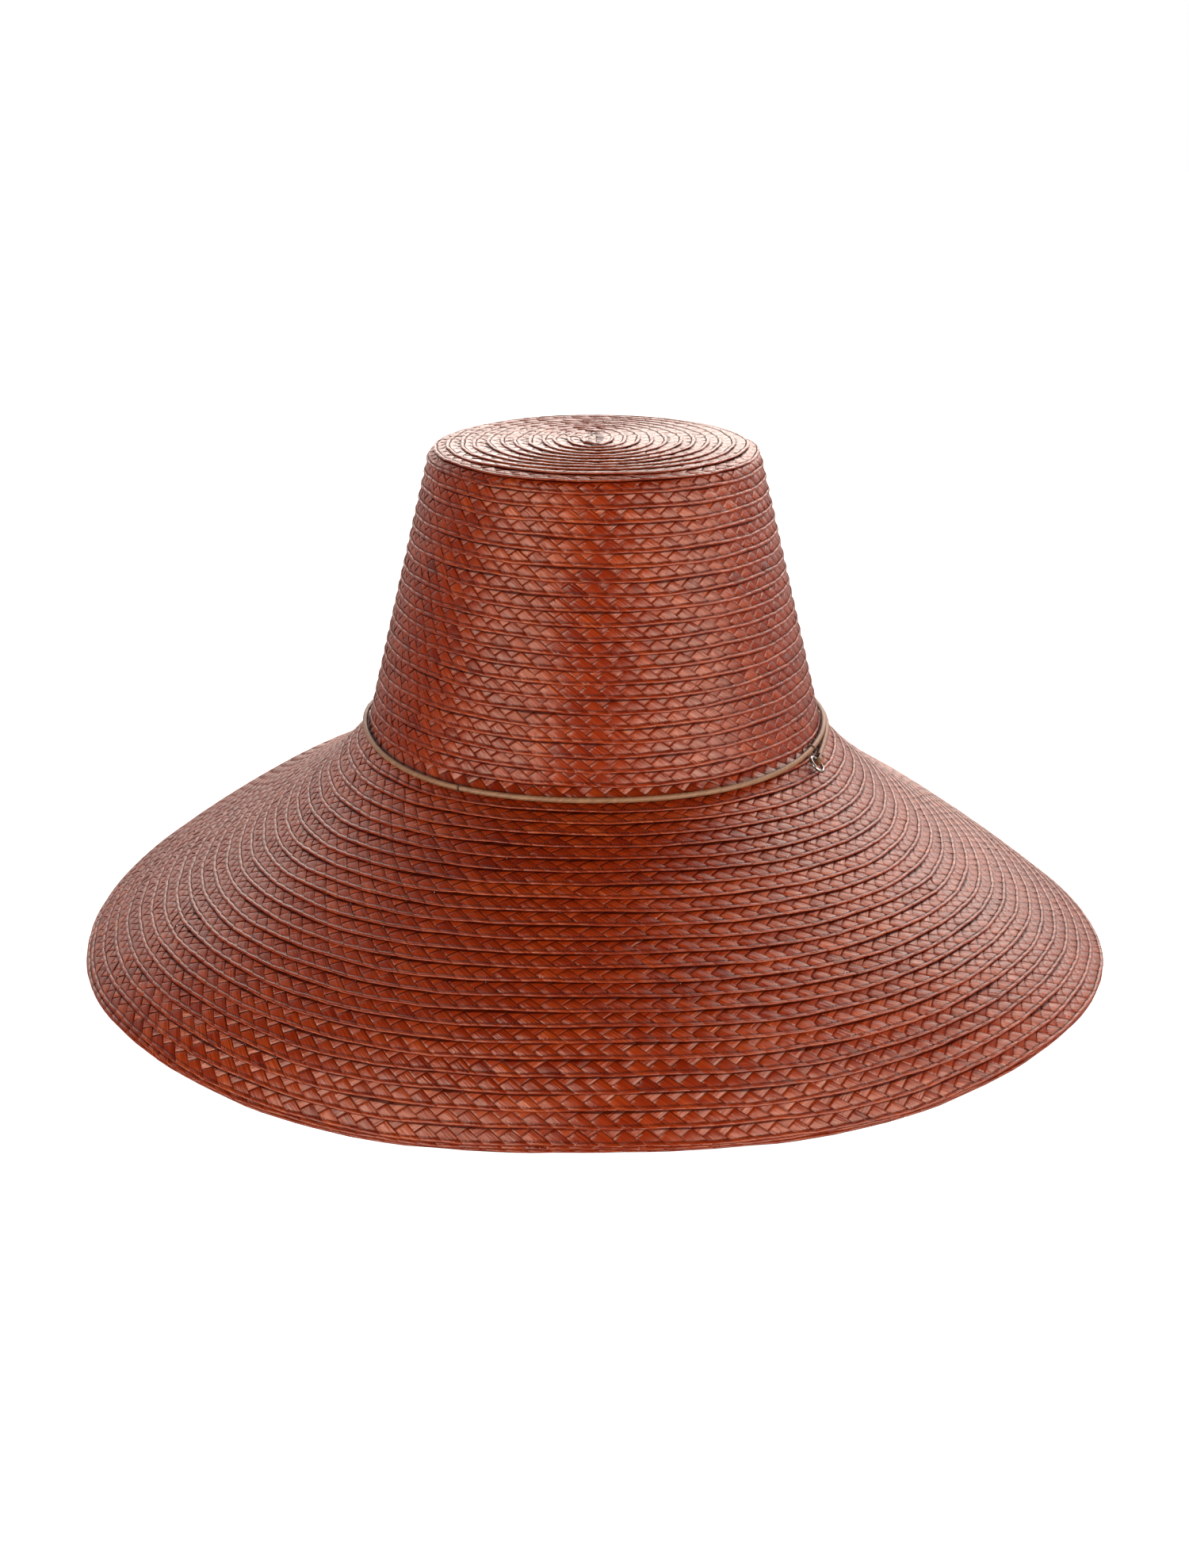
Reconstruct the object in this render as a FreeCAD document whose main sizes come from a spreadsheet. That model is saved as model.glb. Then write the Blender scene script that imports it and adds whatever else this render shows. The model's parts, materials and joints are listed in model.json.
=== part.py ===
import FreeCAD, Part
import math
import os

# A wide-brimmed hat sewn from one long plaited palm braid, in millimetres.
#
# The origin is the middle of the head opening, at the level where crown and brim meet.
# +Z points up through the crown, and the wearer faces -Y.  Every level outline of the
# hat is an oval: its half-length along Y is its half-width along X plus oval_extra.
# Angles round the hat are counted from the front, towards +X.

SHEET = "Sizes"

DIMENSIONS = (
    ("braid_wall", 1.4, "thickness of the overlapping braid rows"),
    ("lay_gap", 0.1, "clearance between neighbouring pieces"),
    ("opening_half_width", 85.5, "outside of the crown at the brim, along X"),
    ("oval_extra", 10.2, "how much longer than wide every oval is, each way"),
    ("crown_taper", 13.6, "lean of the crown side from upright, degrees"),
    ("crown_row", 4.95, "exposed width of one braid row on crown and tip"),
    ("crown_rows", 21, "rows on the crown side"),
    ("upper_rows", 10, "rows of the upper crown length"),
    ("shoulder_slope", 26, "slope of the outermost tip row, degrees"),
    ("easing_slope", 8, "slope of the second tip row, degrees"),
    ("tip_half_width", 1.5, "half-width of the oval coil that starts the tip"),
    ("tip_rise", 1.3, "rise of the tip inside its second row"),
    ("tip_seams", 10, "seams on the tip"),
    ("brim_row", 5.44, "exposed width of one braid row on the brim"),
    ("brim_rows", 25, "rows on the brim"),
    ("inner_rows", 8, "rows of the inner brim length"),
    ("middle_rows", 9, "rows of the middle brim length"),
    ("first_brim_seam", 3, "first brim row with a seam, clear of the cord"),
    ("front_slope_root", 22, "brim slope below level at the front and back, degrees"),
    ("front_slope_inner", 32.3, "the same, a third of the way out"),
    ("front_slope_outer", 34.2, "the same, two thirds of the way out"),
    ("front_slope_edge", 65.7, "the same, at the edge"),
    ("side_slope_root", 53.8, "brim slope below level at the sides, degrees"),
    ("side_slope_inner", 36.7, "the same, a third of the way out"),
    ("side_slope_outer", 26.4, "the same, two thirds of the way out"),
    ("side_slope_edge", 34.4, "the same, at the edge"),
    ("bend_length", 0.8, "length over which the crown side eases into the brim"),
    ("tilt_swing", 4.1, "brim wave with 1 lobe: swing of the edge slope, degrees"),
    ("tilt_heading", 19, "direction of its steepest lobe"),
    ("saddle_swing", 2.5, "brim wave with 2 lobes"),
    ("saddle_heading", -45, "direction of a steepest lobe"),
    ("cross_swing", 2.4, "brim wave with 4 lobes"),
    ("cross_heading", 0, "direction of a steepest lobe"),
    ("petal_swing", 3.3, "brim wave with 5 lobes"),
    ("petal_heading", 37, "direction of a steepest lobe"),
    ("ripple_swing", 1.6, "brim wave with 7 lobes"),
    ("ripple_heading", 25.7, "direction of a steepest lobe"),
    ("turnback_width", 8.0, "width of the braid row turned back under the edge"),
    ("thread_width", 0.5, "width of a seam of chain stitches"),
    ("thread_height", 0.35, "height of a seam above the braid"),
    ("seam_inset", 1.4, "distance of a seam from the lower edge of its row"),
    ("band_height", 27, "height of the sweatband"),
    ("band_wall", 0.8, "thickness of the sweatband"),
    ("band_start", 0.6, "height of the sweatband's lower edge"),
    ("band_seam_height", 2.5, "height of the seam that holds the sweatband"),
    ("cover_width", 16, "width of the ribbon over the sweatband's join"),
    ("cover_margin", 0.5, "how far the band's seam stops short of the ribbon"),
    ("ribbon_wall", 0.45, "thickness of the join ribbon and of the label"),
    ("label_width", 34, "width of the blank label"),
    ("label_height", 15, "height of the blank label"),
    ("label_lift", 6, "height of the label's lower edge above the band's edge"),
    ("label_shift", 30, "distance of the label's middle from the join"),
    ("cord_radius", 1.0, "radius of the cord round the crown"),
    ("cord_gap", 0.3, "clearance of the cord above the braid"),
    ("cord_front", 5.4, "how far out on the brim the cord lies at front and back"),
    ("cord_side", 1.2, "how far out it lies at the sides"),
    ("strand_out", 2.2, "how much further out the cord's outer turn lies at the back"),
    ("loose_end", 64, "angle where the cord starts, at its loose outer end"),
    ("merge_start", 244, "angle where the outer turn starts to close in"),
    ("merge_end", 268, "angle where it lies against the crown"),
    ("inner_end", 600, "angle, after more than a full turn, where the cord ends"),
    ("flare_span", 16, "angle over which the loose end turns outward"),
    ("flare_out", 1.6, "how far the loose end turns outward"),
    ("flare_lift", 0.7, "how far the loose end rises off the brim"),
    ("tack_width", 0.7, "width of a thread tack over the cord"),
    ("tack_left", 329, "angle of the left tack"),
    ("tack_right", 424, "angle of the right tack, on the inner turn"),
    ("tack_back", 180, "angle of the back tacks, one on each turn"),
    ("neck_length", 4.0, "length of the wrap on the cord's end"),
    ("neck_radius", 1.15, "radius of the wrap"),
    ("eye_radius", 1.6, "outside radius of the wrap's eye"),
    ("eye_bore", 1.0, "radius of the hole in the eye"),
    ("eye_length", 2.0, "length of the eye along its hole"),
    ("eye_overlap", 0.32, "how far the eye runs into the wrap"),
    ("ring_radius", 3.1, "middle radius of the metal ring"),
    ("ring_wire", 0.6, "radius of the ring's wire"),
)

ANGLE_STEPS = 72      # points on each closed curve round the brim
BEND_STEPS = 5        # steps of the brim profile within one row
TURNBACK_STEPS = 3    # steps across the row turned back under the edge
CORD_STEPS = 84       # sections along the cord

doc = FreeCAD.newDocument("palm_braid_hat")
parts = []


def fill_sheet():
    """Writes the driving dimensions and gives each value its alias."""
    sheet = doc.addObject("Spreadsheet::Sheet", SHEET)
    for line, (alias, value, note) in enumerate(DIMENSIONS, start=1):
        sheet.set(f"A{line}", alias)
        sheet.set(f"B{line}", str(value))
        sheet.setAlias(f"B{line}", alias)
        sheet.set(f"C{line}", note)
    doc.recompute()
    return sheet


sizes = fill_sheet()


def name_part(shape_object, label):
    """Marks an object as a finished piece of the hat, under its own label."""
    shape_object.Label = label
    parts.append(shape_object)
    return shape_object


def free_part(label, shape):
    """A finished piece whose shape is worked out here from the sheet's values."""
    feature = doc.addObject("Part::Feature", label + "_shape")
    feature.Shape = shape
    feature.Placement = FreeCAD.Placement()
    return name_part(feature, label)


# ---- level oval pieces: crown side, tip, sweatband and what is sewn to it ----------

CROWN_TOP = "(Sizes.crown_rows * Sizes.crown_row * cos(Sizes.crown_taper))"
SPLIT = "((Sizes.crown_rows - Sizes.upper_rows) * Sizes.crown_row * cos(Sizes.crown_taper))"
INSIDE = "(Sizes.braid_wall / cos(Sizes.crown_taper))"
BAND_OUT = f"({INSIDE} + Sizes.lay_gap * 3)"
BAND_IN = f"({BAND_OUT} + Sizes.band_wall)"
SEWN_OUT = f"({BAND_IN} + Sizes.lay_gap)"


def crown_half_width(height):
    """Expression for the half-width of the crown's outside at a height."""
    return f"(Sizes.opening_half_width - ({height}) * tan(Sizes.crown_taper))"


def oval(name, half_width, height):
    """A level oval outline; half_width and height are sheet expressions."""
    outline = doc.addObject("Part::Ellipse", name)
    quarter_turn = FreeCAD.Rotation(FreeCAD.Vector(0, 0, 1), 90)
    outline.Placement = FreeCAD.Placement(FreeCAD.Vector(), quarter_turn)
    outline.setExpression("MinorRadius", half_width)
    outline.setExpression("MajorRadius", f"{half_width} + Sizes.oval_extra")
    outline.setExpression("Placement.Base.z", height)
    return outline


def oval_stack(name, stations):
    """A solid with straight sides through level ovals, given as (half-width, height)."""
    stack = doc.addObject("Part::Loft", name)
    stack.Sections = [
        oval(f"{name}_oval_{number}", half_width, height)
        for number, (half_width, height) in enumerate(stations)
    ]
    stack.Solid = True
    stack.Ruled = True
    return stack


def difference(name, base, tool):
    cut = doc.addObject("Part::Cut", name)
    cut.Base = base
    cut.Tool = tool
    return cut


def crown_wall(name, bottom, top, outer_inset, inner_inset):
    """A ring that follows the crown side between two heights and two insets."""
    shells = []
    for side, inset in (("outer", outer_inset), ("inner", inner_inset)):
        stations = [
            (f"({crown_half_width(height)} - {inset})", height) for height in (bottom, top)
        ]
        shells.append(oval_stack(f"{name}_{side}", stations))
    return difference(name + "_ring", *shells)


def make_crown():
    """The two braid lengths of the crown side."""
    lower = crown_wall("crown_lower", "0", f"({SPLIT} - Sizes.lay_gap)", "0", INSIDE)
    name_part(lower, "crown_lower_braid")
    upper = crown_wall("crown_upper", SPLIT, CROWN_TOP, "0", INSIDE)
    name_part(upper, "crown_upper_braid")


def make_tip():
    """The domed tip: a steep shoulder row, an easing row and a nearly flat spiral."""
    shoulder_run = "Sizes.crown_row * cos(Sizes.shoulder_slope)"
    shoulder_rise = "Sizes.crown_row * sin(Sizes.shoulder_slope)"
    easing_run = "Sizes.crown_row * cos(Sizes.easing_slope)"
    easing_rise = "Sizes.crown_row * sin(Sizes.easing_slope)"
    rim = crown_half_width(CROWN_TOP)
    base = f"{CROWN_TOP} + Sizes.lay_gap"
    stations = (
        (f"({rim})", base),
        (f"({rim} - {shoulder_run})", f"{base} + {shoulder_rise}"),
        (f"({rim} - {shoulder_run} - {easing_run})", f"{base} + {shoulder_rise} + {easing_rise}"),
        ("(Sizes.tip_half_width)", f"{base} + {shoulder_rise} + {easing_rise} + Sizes.tip_rise"),
    )
    lowered = [(half_width, f"{height} - Sizes.braid_wall") for half_width, height in stations]
    tip = difference("tip_cap", oval_stack("tip_outer", stations), oval_stack("tip_inner", lowered))
    name_part(tip, "tip_braid")


def make_sweatband():
    """The woven band inside the opening, and the seam that holds its lower edge."""
    top = "(Sizes.band_start + Sizes.band_height)"
    band = crown_wall("band", "Sizes.band_start", top, BAND_OUT, BAND_IN)
    name_part(band, "sweatband")
    seam_top = "(Sizes.band_seam_height + Sizes.thread_width)"
    seam_in = f"({SEWN_OUT} + Sizes.thread_height)"
    seam = crown_wall("band_seam", "Sizes.band_seam_height", seam_top, SEWN_OUT, seam_in)
    gap_width = "(Sizes.cover_width + 2 * Sizes.cover_margin)"
    gap = box("band_seam_gap", gap_width, "Sizes.opening_half_width * 2", "Sizes.band_height",
              f"-{gap_width} / 2", "0", "Sizes.band_start")
    name_part(difference("band_seam_open", seam, gap), "sweatband_stitching")


def box(name, length, width, height, x, y, z):
    """A block bound to the sheet: its three sizes, then its lowest corner."""
    block = doc.addObject("Part::Box", name)
    block.setExpression("Length", length)
    block.setExpression("Width", width)
    block.setExpression("Height", height)
    block.setExpression("Placement.Base.x", x)
    block.setExpression("Placement.Base.y", y)
    block.setExpression("Placement.Base.z", z)
    return block


def band_patch(label, width, height, middle, lift):
    """A thin piece that lies on the inside of the sweatband, at the back."""
    bottom = f"(Sizes.band_start + {lift})"
    top = f"({bottom} + {height})"
    layer = crown_wall(label, bottom, top, SEWN_OUT, f"({SEWN_OUT} + Sizes.ribbon_wall)")
    window = box(label + "_window", width, "Sizes.opening_half_width * 2", height,
                 f"{middle} - {width} / 2", "0", bottom)
    patch = doc.addObject("Part::Common", label + "_patch")
    patch.Base = layer
    patch.Tool = window
    name_part(patch, label)


def make_patches():
    """The ribbon over the sweatband's join, and the blank label beside it."""
    band_patch("sweatband_join_ribbon", "Sizes.cover_width", "Sizes.band_height", "0", "0")
    band_patch("size_label", "Sizes.label_width", "Sizes.label_height",
               "Sizes.label_shift", "Sizes.label_lift")


# ---- the braided skin as a surface: row number and angle give a point --------------

def share_at(stops, share):
    """Straight-line value at a share from 0 to 1 along evenly spaced stops."""
    where = share * (len(stops) - 1)
    first = min(int(where), len(stops) - 2)
    return stops[first] + (stops[first + 1] - stops[first]) * (where - first)


def brim_slope(share, angle):
    """Slope below level, in radians, at a share of the way across the brim."""
    front = share_at((sizes.front_slope_root, sizes.front_slope_inner,
                      sizes.front_slope_outer, sizes.front_slope_edge), share)
    side = share_at((sizes.side_slope_root, sizes.side_slope_inner,
                     sizes.side_slope_outer, sizes.side_slope_edge), share)
    sideways = math.sin(angle) ** 2
    slope = front * (1 - sideways) + side * sideways
    waves = (
        (1, sizes.tilt_swing, sizes.tilt_heading),
        (2, sizes.saddle_swing, sizes.saddle_heading),
        (4, sizes.cross_swing, sizes.cross_heading),
        (5, sizes.petal_swing, sizes.petal_heading),
        (7, sizes.ripple_swing, sizes.ripple_heading),
    )
    for lobes, swing, heading in waves:
        slope += share * swing * math.cos(lobes * (angle - math.radians(heading)))
    return math.radians(slope)


def brim_profile(distance, angle):
    """Half-width, height and slope at a distance across the brim from its root."""
    half_width = sizes.opening_half_width
    height = 0.0
    width = sizes.brim_row * sizes.brim_rows
    upright = math.radians(90 - sizes.crown_taper)
    steps = max(1, math.ceil(distance / sizes.brim_row * BEND_STEPS))
    step = distance / steps

    def slope_at(run):
        slope = brim_slope(run / width, angle)
        return slope + (upright - slope) * math.exp(-run / sizes.bend_length)

    for number in range(steps):
        slope = slope_at((number + 0.5) * step)
        half_width += step * math.cos(slope)
        height -= step * math.sin(slope)
    return half_width, height, slope_at(distance)


def place(half_width, height, slope, angle, lift):
    """Point on the oval at an angle, lifted off the surface by a distance."""
    half_width += lift * math.sin(slope)
    height += lift * math.cos(slope)
    x = half_width * math.sin(angle)
    y = -(half_width + sizes.oval_extra) * math.cos(angle)
    return FreeCAD.Vector(x, y, height)


def brim_point(distance, angle, lift):
    return place(*brim_profile(distance, angle), angle, lift)


def crown_point(distance, angle, lift):
    """Point on the crown side, at a distance up from the brim."""
    taper = math.radians(sizes.crown_taper)
    half_width = sizes.opening_half_width - distance * math.sin(taper)
    return place(half_width, distance * math.cos(taper), math.pi / 2 - taper, angle, lift)


def tip_point(distance, angle, lift):
    """Point on the tip, at a distance in from its rim."""
    crown_side = sizes.crown_rows * sizes.crown_row
    taper = math.radians(sizes.crown_taper)
    half_width = sizes.opening_half_width - crown_side * math.sin(taper)
    height = crown_side * math.cos(taper) + sizes.lay_gap
    shoulder = math.radians(sizes.shoulder_slope)
    easing = math.radians(sizes.easing_slope)
    inner_run = half_width - sizes.crown_row * (math.cos(shoulder) + math.cos(easing))
    crest = math.atan(sizes.tip_rise / (inner_run - sizes.tip_half_width))
    for length, slope in ((sizes.crown_row, shoulder), (sizes.crown_row, easing), (inner_run, crest)):
        run = min(distance, length)
        half_width -= run * math.cos(slope)
        height += run * math.sin(slope)
        distance -= run
        if distance <= 0:
            break
    return place(half_width, height, slope, angle, lift)


def closed_curve(point_at, distance, lift):
    """Smooth closed curve round the hat at one distance and lift."""
    points = [
        point_at(distance, 2 * math.pi * number / ANGLE_STEPS, lift)
        for number in range(ANGLE_STEPS)
    ]
    curve = Part.BSplineCurve()
    curve.interpolate(Points=points, PeriodicFlag=True)
    return Part.Wire(curve.toShape())


def skin_ring(point_at, distances, low, high):
    """Solid ring that follows the skin through distances, between two lifts."""
    upper = [closed_curve(point_at, distance, high) for distance in distances]
    lower = [closed_curve(point_at, distance, low) for distance in distances]
    faces = []
    for sections in (upper, lower, [upper[0], lower[0]], [upper[-1], lower[-1]]):
        straight = len(sections) == 2
        faces += Part.makeLoft(sections, False, straight).Faces
    shell = Part.makeShell(faces)
    shell.sewShape()
    solid = Part.makeSolid(shell)
    if solid.Volume < 0:
        solid.reverse()
    return solid


def make_brim():
    """The three braid lengths of the brim, and the row turned back under its edge."""
    inner = int(sizes.inner_rows)
    middle = inner + int(sizes.middle_rows)
    last = int(sizes.brim_rows)
    lengths = (("brim_inner_braid", 0, inner), ("brim_middle_braid", inner, middle),
               ("brim_outer_braid", middle, last))
    for label, first_row, last_row in lengths:
        distances = [row * sizes.brim_row for row in range(first_row, last_row + 1)]
        distances[0] += sizes.lay_gap
        distances[-1] -= sizes.lay_gap
        free_part(label, skin_ring(brim_point, distances, -sizes.braid_wall, 0))
    edge = last * sizes.brim_row - sizes.lay_gap
    step = sizes.turnback_width / TURNBACK_STEPS
    distances = [edge - step * number for number in range(TURNBACK_STEPS, -1, -1)]
    top = -sizes.braid_wall - sizes.lay_gap
    free_part("brim_edge_turnback", skin_ring(brim_point, distances, top - sizes.braid_wall / 2, top))


def seam_group(label, point_at, seams):
    """One node of separate seams, each a closed line of chain stitches on its row."""
    low = sizes.lay_gap
    rings = []
    for middle in seams:
        distances = (middle - sizes.thread_width / 2, middle + sizes.thread_width / 2)
        rings.append(skin_ring(point_at, distances, low, low + sizes.thread_height))
    free_part(label, Part.makeCompound(rings))


def make_seams():
    """The chain-stitched seams that hold each braid row to the next."""
    seam_group("tip_stitching", tip_point,
               [row * sizes.crown_row + sizes.seam_inset for row in range(1, int(sizes.tip_seams) + 1)])
    seam_group("crown_stitching", crown_point,
               [row * sizes.crown_row + sizes.seam_inset for row in range(1, int(sizes.crown_rows))])
    brim_rows = range(int(sizes.first_brim_seam), int(sizes.brim_rows) + 1)
    seam_group("brim_stitching", brim_point,
               [row * sizes.brim_row - sizes.seam_inset for row in brim_rows])


# ---- the cord round the crown, its tacks, its loose end and the ring ---------------

def smooth_share(value, start, end):
    """Rises smoothly from 0 at start to 1 at end."""
    share = min(max((value - start) / (end - start), 0.0), 1.0)
    return share * share * (3 - 2 * share)


def cord_point(heading):
    """Middle of the cord; heading, in degrees, grows from its loose end to its inner end."""
    angle = math.radians(heading)
    outer_turn = 1 - smooth_share(heading, sizes.merge_start, sizes.merge_end)
    looseness = max(0.0, 1 - (heading - sizes.loose_end) / sizes.flare_span) ** 2
    frontness = 1 - math.sin(angle) ** 4
    distance = sizes.cord_side + (sizes.cord_front - sizes.cord_side) * frontness
    distance += sizes.strand_out * outer_turn + sizes.flare_out * looseness
    lift = sizes.cord_radius + sizes.cord_gap + sizes.flare_lift * looseness
    return brim_point(distance, angle, lift)


def round_cord(points, radius):
    """Round cord whose middle line runs smoothly through points."""
    curve = Part.BSplineCurve()
    curve.interpolate(Points=points)
    span = curve.LastParameter - curve.FirstParameter
    sections = []
    for number in range(len(points)):
        where = curve.FirstParameter + span * number / (len(points) - 1)
        circle = Part.makeCircle(radius, curve.value(where), curve.tangent(where)[0])
        sections.append(Part.Wire(circle))
    return Part.makeLoft(sections, True)


def tack(heading):
    """Thread hoop round the cord."""
    along = (cord_point(heading + 0.5) - cord_point(heading - 0.5)).normalize()
    start = cord_point(heading) - along * (sizes.tack_width / 2)
    inner = sizes.cord_radius + sizes.lay_gap / 2
    hoop = Part.makeCylinder(inner + sizes.lay_gap / 2, sizes.tack_width, start, along)
    return hoop.cut(Part.makeCylinder(inner, sizes.tack_width, start, along))


def make_cord():
    """The cord, once round the crown and doubled at the back, and its thread tacks."""
    turn = sizes.inner_end - sizes.loose_end
    headings = [sizes.loose_end + turn * number / CORD_STEPS for number in range(CORD_STEPS + 1)]
    free_part("cord_band", round_cord([cord_point(heading) for heading in headings], sizes.cord_radius))
    places = (sizes.tack_left, sizes.tack_right, sizes.tack_back, sizes.tack_back + 360)
    free_part("cord_tacks", Part.makeCompound([tack(heading) for heading in places]))


def end_placement():
    """Frame at the loose end: X onward from the cord, Z off the brim."""
    here = cord_point(sizes.loose_end)
    onward = here - cord_point(sizes.loose_end + 1)
    distance = sizes.cord_side + sizes.strand_out
    angle = math.radians(sizes.loose_end)
    off = brim_point(distance, angle, 1.0) - brim_point(distance, angle, 0.0)
    return here, FreeCAD.Rotation(onward, FreeCAD.Vector(), off, "XZY")


def local_placement(base, turn, x, y, z, axis, degrees):
    """Placement at local coordinates of the loose end's frame, then turned."""
    return FreeCAD.Placement(base + turn.multVec(FreeCAD.Vector(x, y, z)),
                             turn.multiply(FreeCAD.Rotation(FreeCAD.Vector(*axis), degrees)))


def cylinder(name, radius, height, placement):
    bar = doc.addObject("Part::Cylinder", name)
    bar.setExpression("Radius", radius)
    bar.setExpression("Height", height)
    bar.Placement = placement
    return bar


def make_cord_end():
    """The wrapped end of the cord with its eye, and the metal ring that swings in it."""
    base, turn = end_placement()
    start = sizes.lay_gap
    eye_at = start + sizes.neck_length + sizes.eye_radius - sizes.eye_overlap
    neck = cylinder("wrap_neck", "Sizes.neck_radius", "Sizes.neck_length",
                    local_placement(base, turn, start, 0, 0, (0, 1, 0), 90))
    eye = cylinder("wrap_eye", "Sizes.eye_radius", "Sizes.eye_length",
                   local_placement(base, turn, eye_at, sizes.eye_length / 2, 0, (1, 0, 0), 90))
    hole = cylinder("wrap_hole", "Sizes.eye_bore", "Sizes.eye_length * 3",
                    local_placement(base, turn, eye_at, sizes.eye_length * 1.5, 0, (1, 0, 0), 90))
    wrap = doc.addObject("Part::Fuse", "wrap_solid")
    wrap.Base = neck
    wrap.Tool = eye
    name_part(difference("wrap_bored", wrap, hole), "cord_end_wrap")
    ring = doc.addObject("Part::Torus", "ring_torus")
    ring.setExpression("Radius1", "Sizes.ring_radius")
    ring.setExpression("Radius2", "Sizes.ring_wire")
    ring.Placement = local_placement(base, turn, eye_at + sizes.ring_radius, 0, 0, (0, 0, 1), 0)
    name_part(ring, "end_ring")


def check_document():
    """Stops the macro if any object failed or any piece has no sound shape."""
    for item in doc.Objects:
        if any(state in ("Invalid", "Error") for state in item.State):
            raise RuntimeError(f"{item.Name} failed: {item.State}")
    for piece in parts:
        shape = piece.Shape
        if shape.isNull() or not shape.isValid() or not shape.Solids:
            raise RuntimeError(f"{piece.Label} has no valid solid")


def write_parts():
    os.makedirs("parts", exist_ok=True)
    for piece in parts:
        piece.Shape.exportStep(os.path.join("parts", piece.Label + ".step"))


make_tip()
make_crown()
make_brim()
make_seams()
make_sweatband()
make_patches()
make_cord()
make_cord_end()
doc.recompute()
check_document()
write_parts()
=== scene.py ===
import json
import math

import bmesh
import bpy
import numpy as np
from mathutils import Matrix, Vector
from mathutils.bvhtree import BVHTree


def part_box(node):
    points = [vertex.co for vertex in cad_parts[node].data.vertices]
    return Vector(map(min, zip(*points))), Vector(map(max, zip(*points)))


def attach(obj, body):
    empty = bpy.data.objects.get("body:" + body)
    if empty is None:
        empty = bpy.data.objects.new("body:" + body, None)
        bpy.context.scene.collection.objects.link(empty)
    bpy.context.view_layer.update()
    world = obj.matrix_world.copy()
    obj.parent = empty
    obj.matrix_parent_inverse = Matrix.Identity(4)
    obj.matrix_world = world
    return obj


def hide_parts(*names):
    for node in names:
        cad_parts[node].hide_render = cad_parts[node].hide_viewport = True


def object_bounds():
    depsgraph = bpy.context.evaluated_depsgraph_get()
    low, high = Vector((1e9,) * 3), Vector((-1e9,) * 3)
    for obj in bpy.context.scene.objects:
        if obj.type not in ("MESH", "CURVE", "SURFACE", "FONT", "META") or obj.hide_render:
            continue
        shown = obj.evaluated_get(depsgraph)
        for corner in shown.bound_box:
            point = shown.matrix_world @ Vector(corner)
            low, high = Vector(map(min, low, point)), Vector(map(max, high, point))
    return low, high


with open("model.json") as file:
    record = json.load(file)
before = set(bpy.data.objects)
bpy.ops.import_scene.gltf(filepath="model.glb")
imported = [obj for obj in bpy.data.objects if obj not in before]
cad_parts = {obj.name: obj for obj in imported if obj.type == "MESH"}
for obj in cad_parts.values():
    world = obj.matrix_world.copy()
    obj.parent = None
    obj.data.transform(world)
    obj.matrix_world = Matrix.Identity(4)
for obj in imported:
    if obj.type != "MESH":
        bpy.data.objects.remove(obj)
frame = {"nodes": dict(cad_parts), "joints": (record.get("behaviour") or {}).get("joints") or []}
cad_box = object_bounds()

# The visual model of a wide-brimmed hat, in metres.  The braid is real plaited geometry: three
# palm strips zigzag round each other along one long spiral, which is laid on the skin of the CAD
# pieces.  The skin is read from the CAD meshes, so every row lies where the frame says.
# Angles round the hat are counted from the front (-Y) towards +X.

MM = 0.001
TURN = 2 * math.pi
SEED = 7
rng = np.random.default_rng(SEED)

# ---- driving sizes --------------------------------------------------------------------------
CROWN_ROW = 4.95 * MM        # exposed width of a braid row on tip and crown
BRIM_ROW = 5.44 * MM         # exposed width of a braid row on the brim
PITCH = 7.1 * MM             # length of braid between two folds on one edge
STRANDS = 3                  # strips in the plait
BRAID_WIDTH = 8.0 * MM
STRIP_SLOPE = BRAID_WIDTH / (STRANDS * PITCH / 2)
STRIP_OVERLAP = 0.05 * MM    # neighbouring strips lie over each other by this much
ROW_LIFT = 0.60 * MM         # how much lower each row lies under the one before it
SKIN_DROP = 0.45 * MM        # the braid's middle lies this far under the CAD skin at its lower edge
SEAM_INSET = 1.40 * MM       # chain stitches lie this far from the lower edge
STITCH = 1.15 * MM           # length of one chain stitch

lower_lo, lower_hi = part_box("crown_lower_braid")
upper_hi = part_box("crown_upper_braid")[1]
ROOT_WIDTH = lower_hi.x                      # half-width of the crown's base
OVAL_EXTRA = lower_hi.y - lower_hi.x         # every oval is longer than wide by this, on each side
TIP_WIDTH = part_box("tip_braid")[1].x         # half-width of the tip


# ---- the skin: a table of points by row distance and angle ----------------------------------
SKIN_NODES = ("tip_braid", "crown_upper_braid", "crown_lower_braid",
              "brim_inner_braid", "brim_middle_braid", "brim_outer_braid")
SKIN_ANGLES = 180
TIP_STEPS, CROWN_STEPS, BRIM_STEPS = 130, 210, 290
TIP_INNER = 0.4 * MM         # half-width where the reading of the tip starts
TIP_SAMPLES = 60
RIM_MARGIN = 0.05 * MM       # the tip is read up to this far inside its rim
BRIM_INNER = 0.3 * MM        # the brim is read from this far outside the crown
BRIM_SAMPLE = 0.5 * MM
BRIM_LIMIT = 0.21            # wider than the brim's half-width anywhere
EDGE_HALVINGS = 10           # halvings of the last sample that find the brim's edge
ROUND_PASSES, OUT_PASSES, SLOPE_PASSES = 6, 12, 6


def skin_tree():
    """One search tree over all braid nodes of the frame."""
    points, faces = [], []
    for node in SKIN_NODES:
        mesh = frame["nodes"][node].data
        first = len(points)
        points += [v.co.copy() for v in mesh.vertices]
        faces += [[first + i for i in p.vertices] for p in mesh.polygons]
    return BVHTree.FromPolygons(points, faces)


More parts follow.
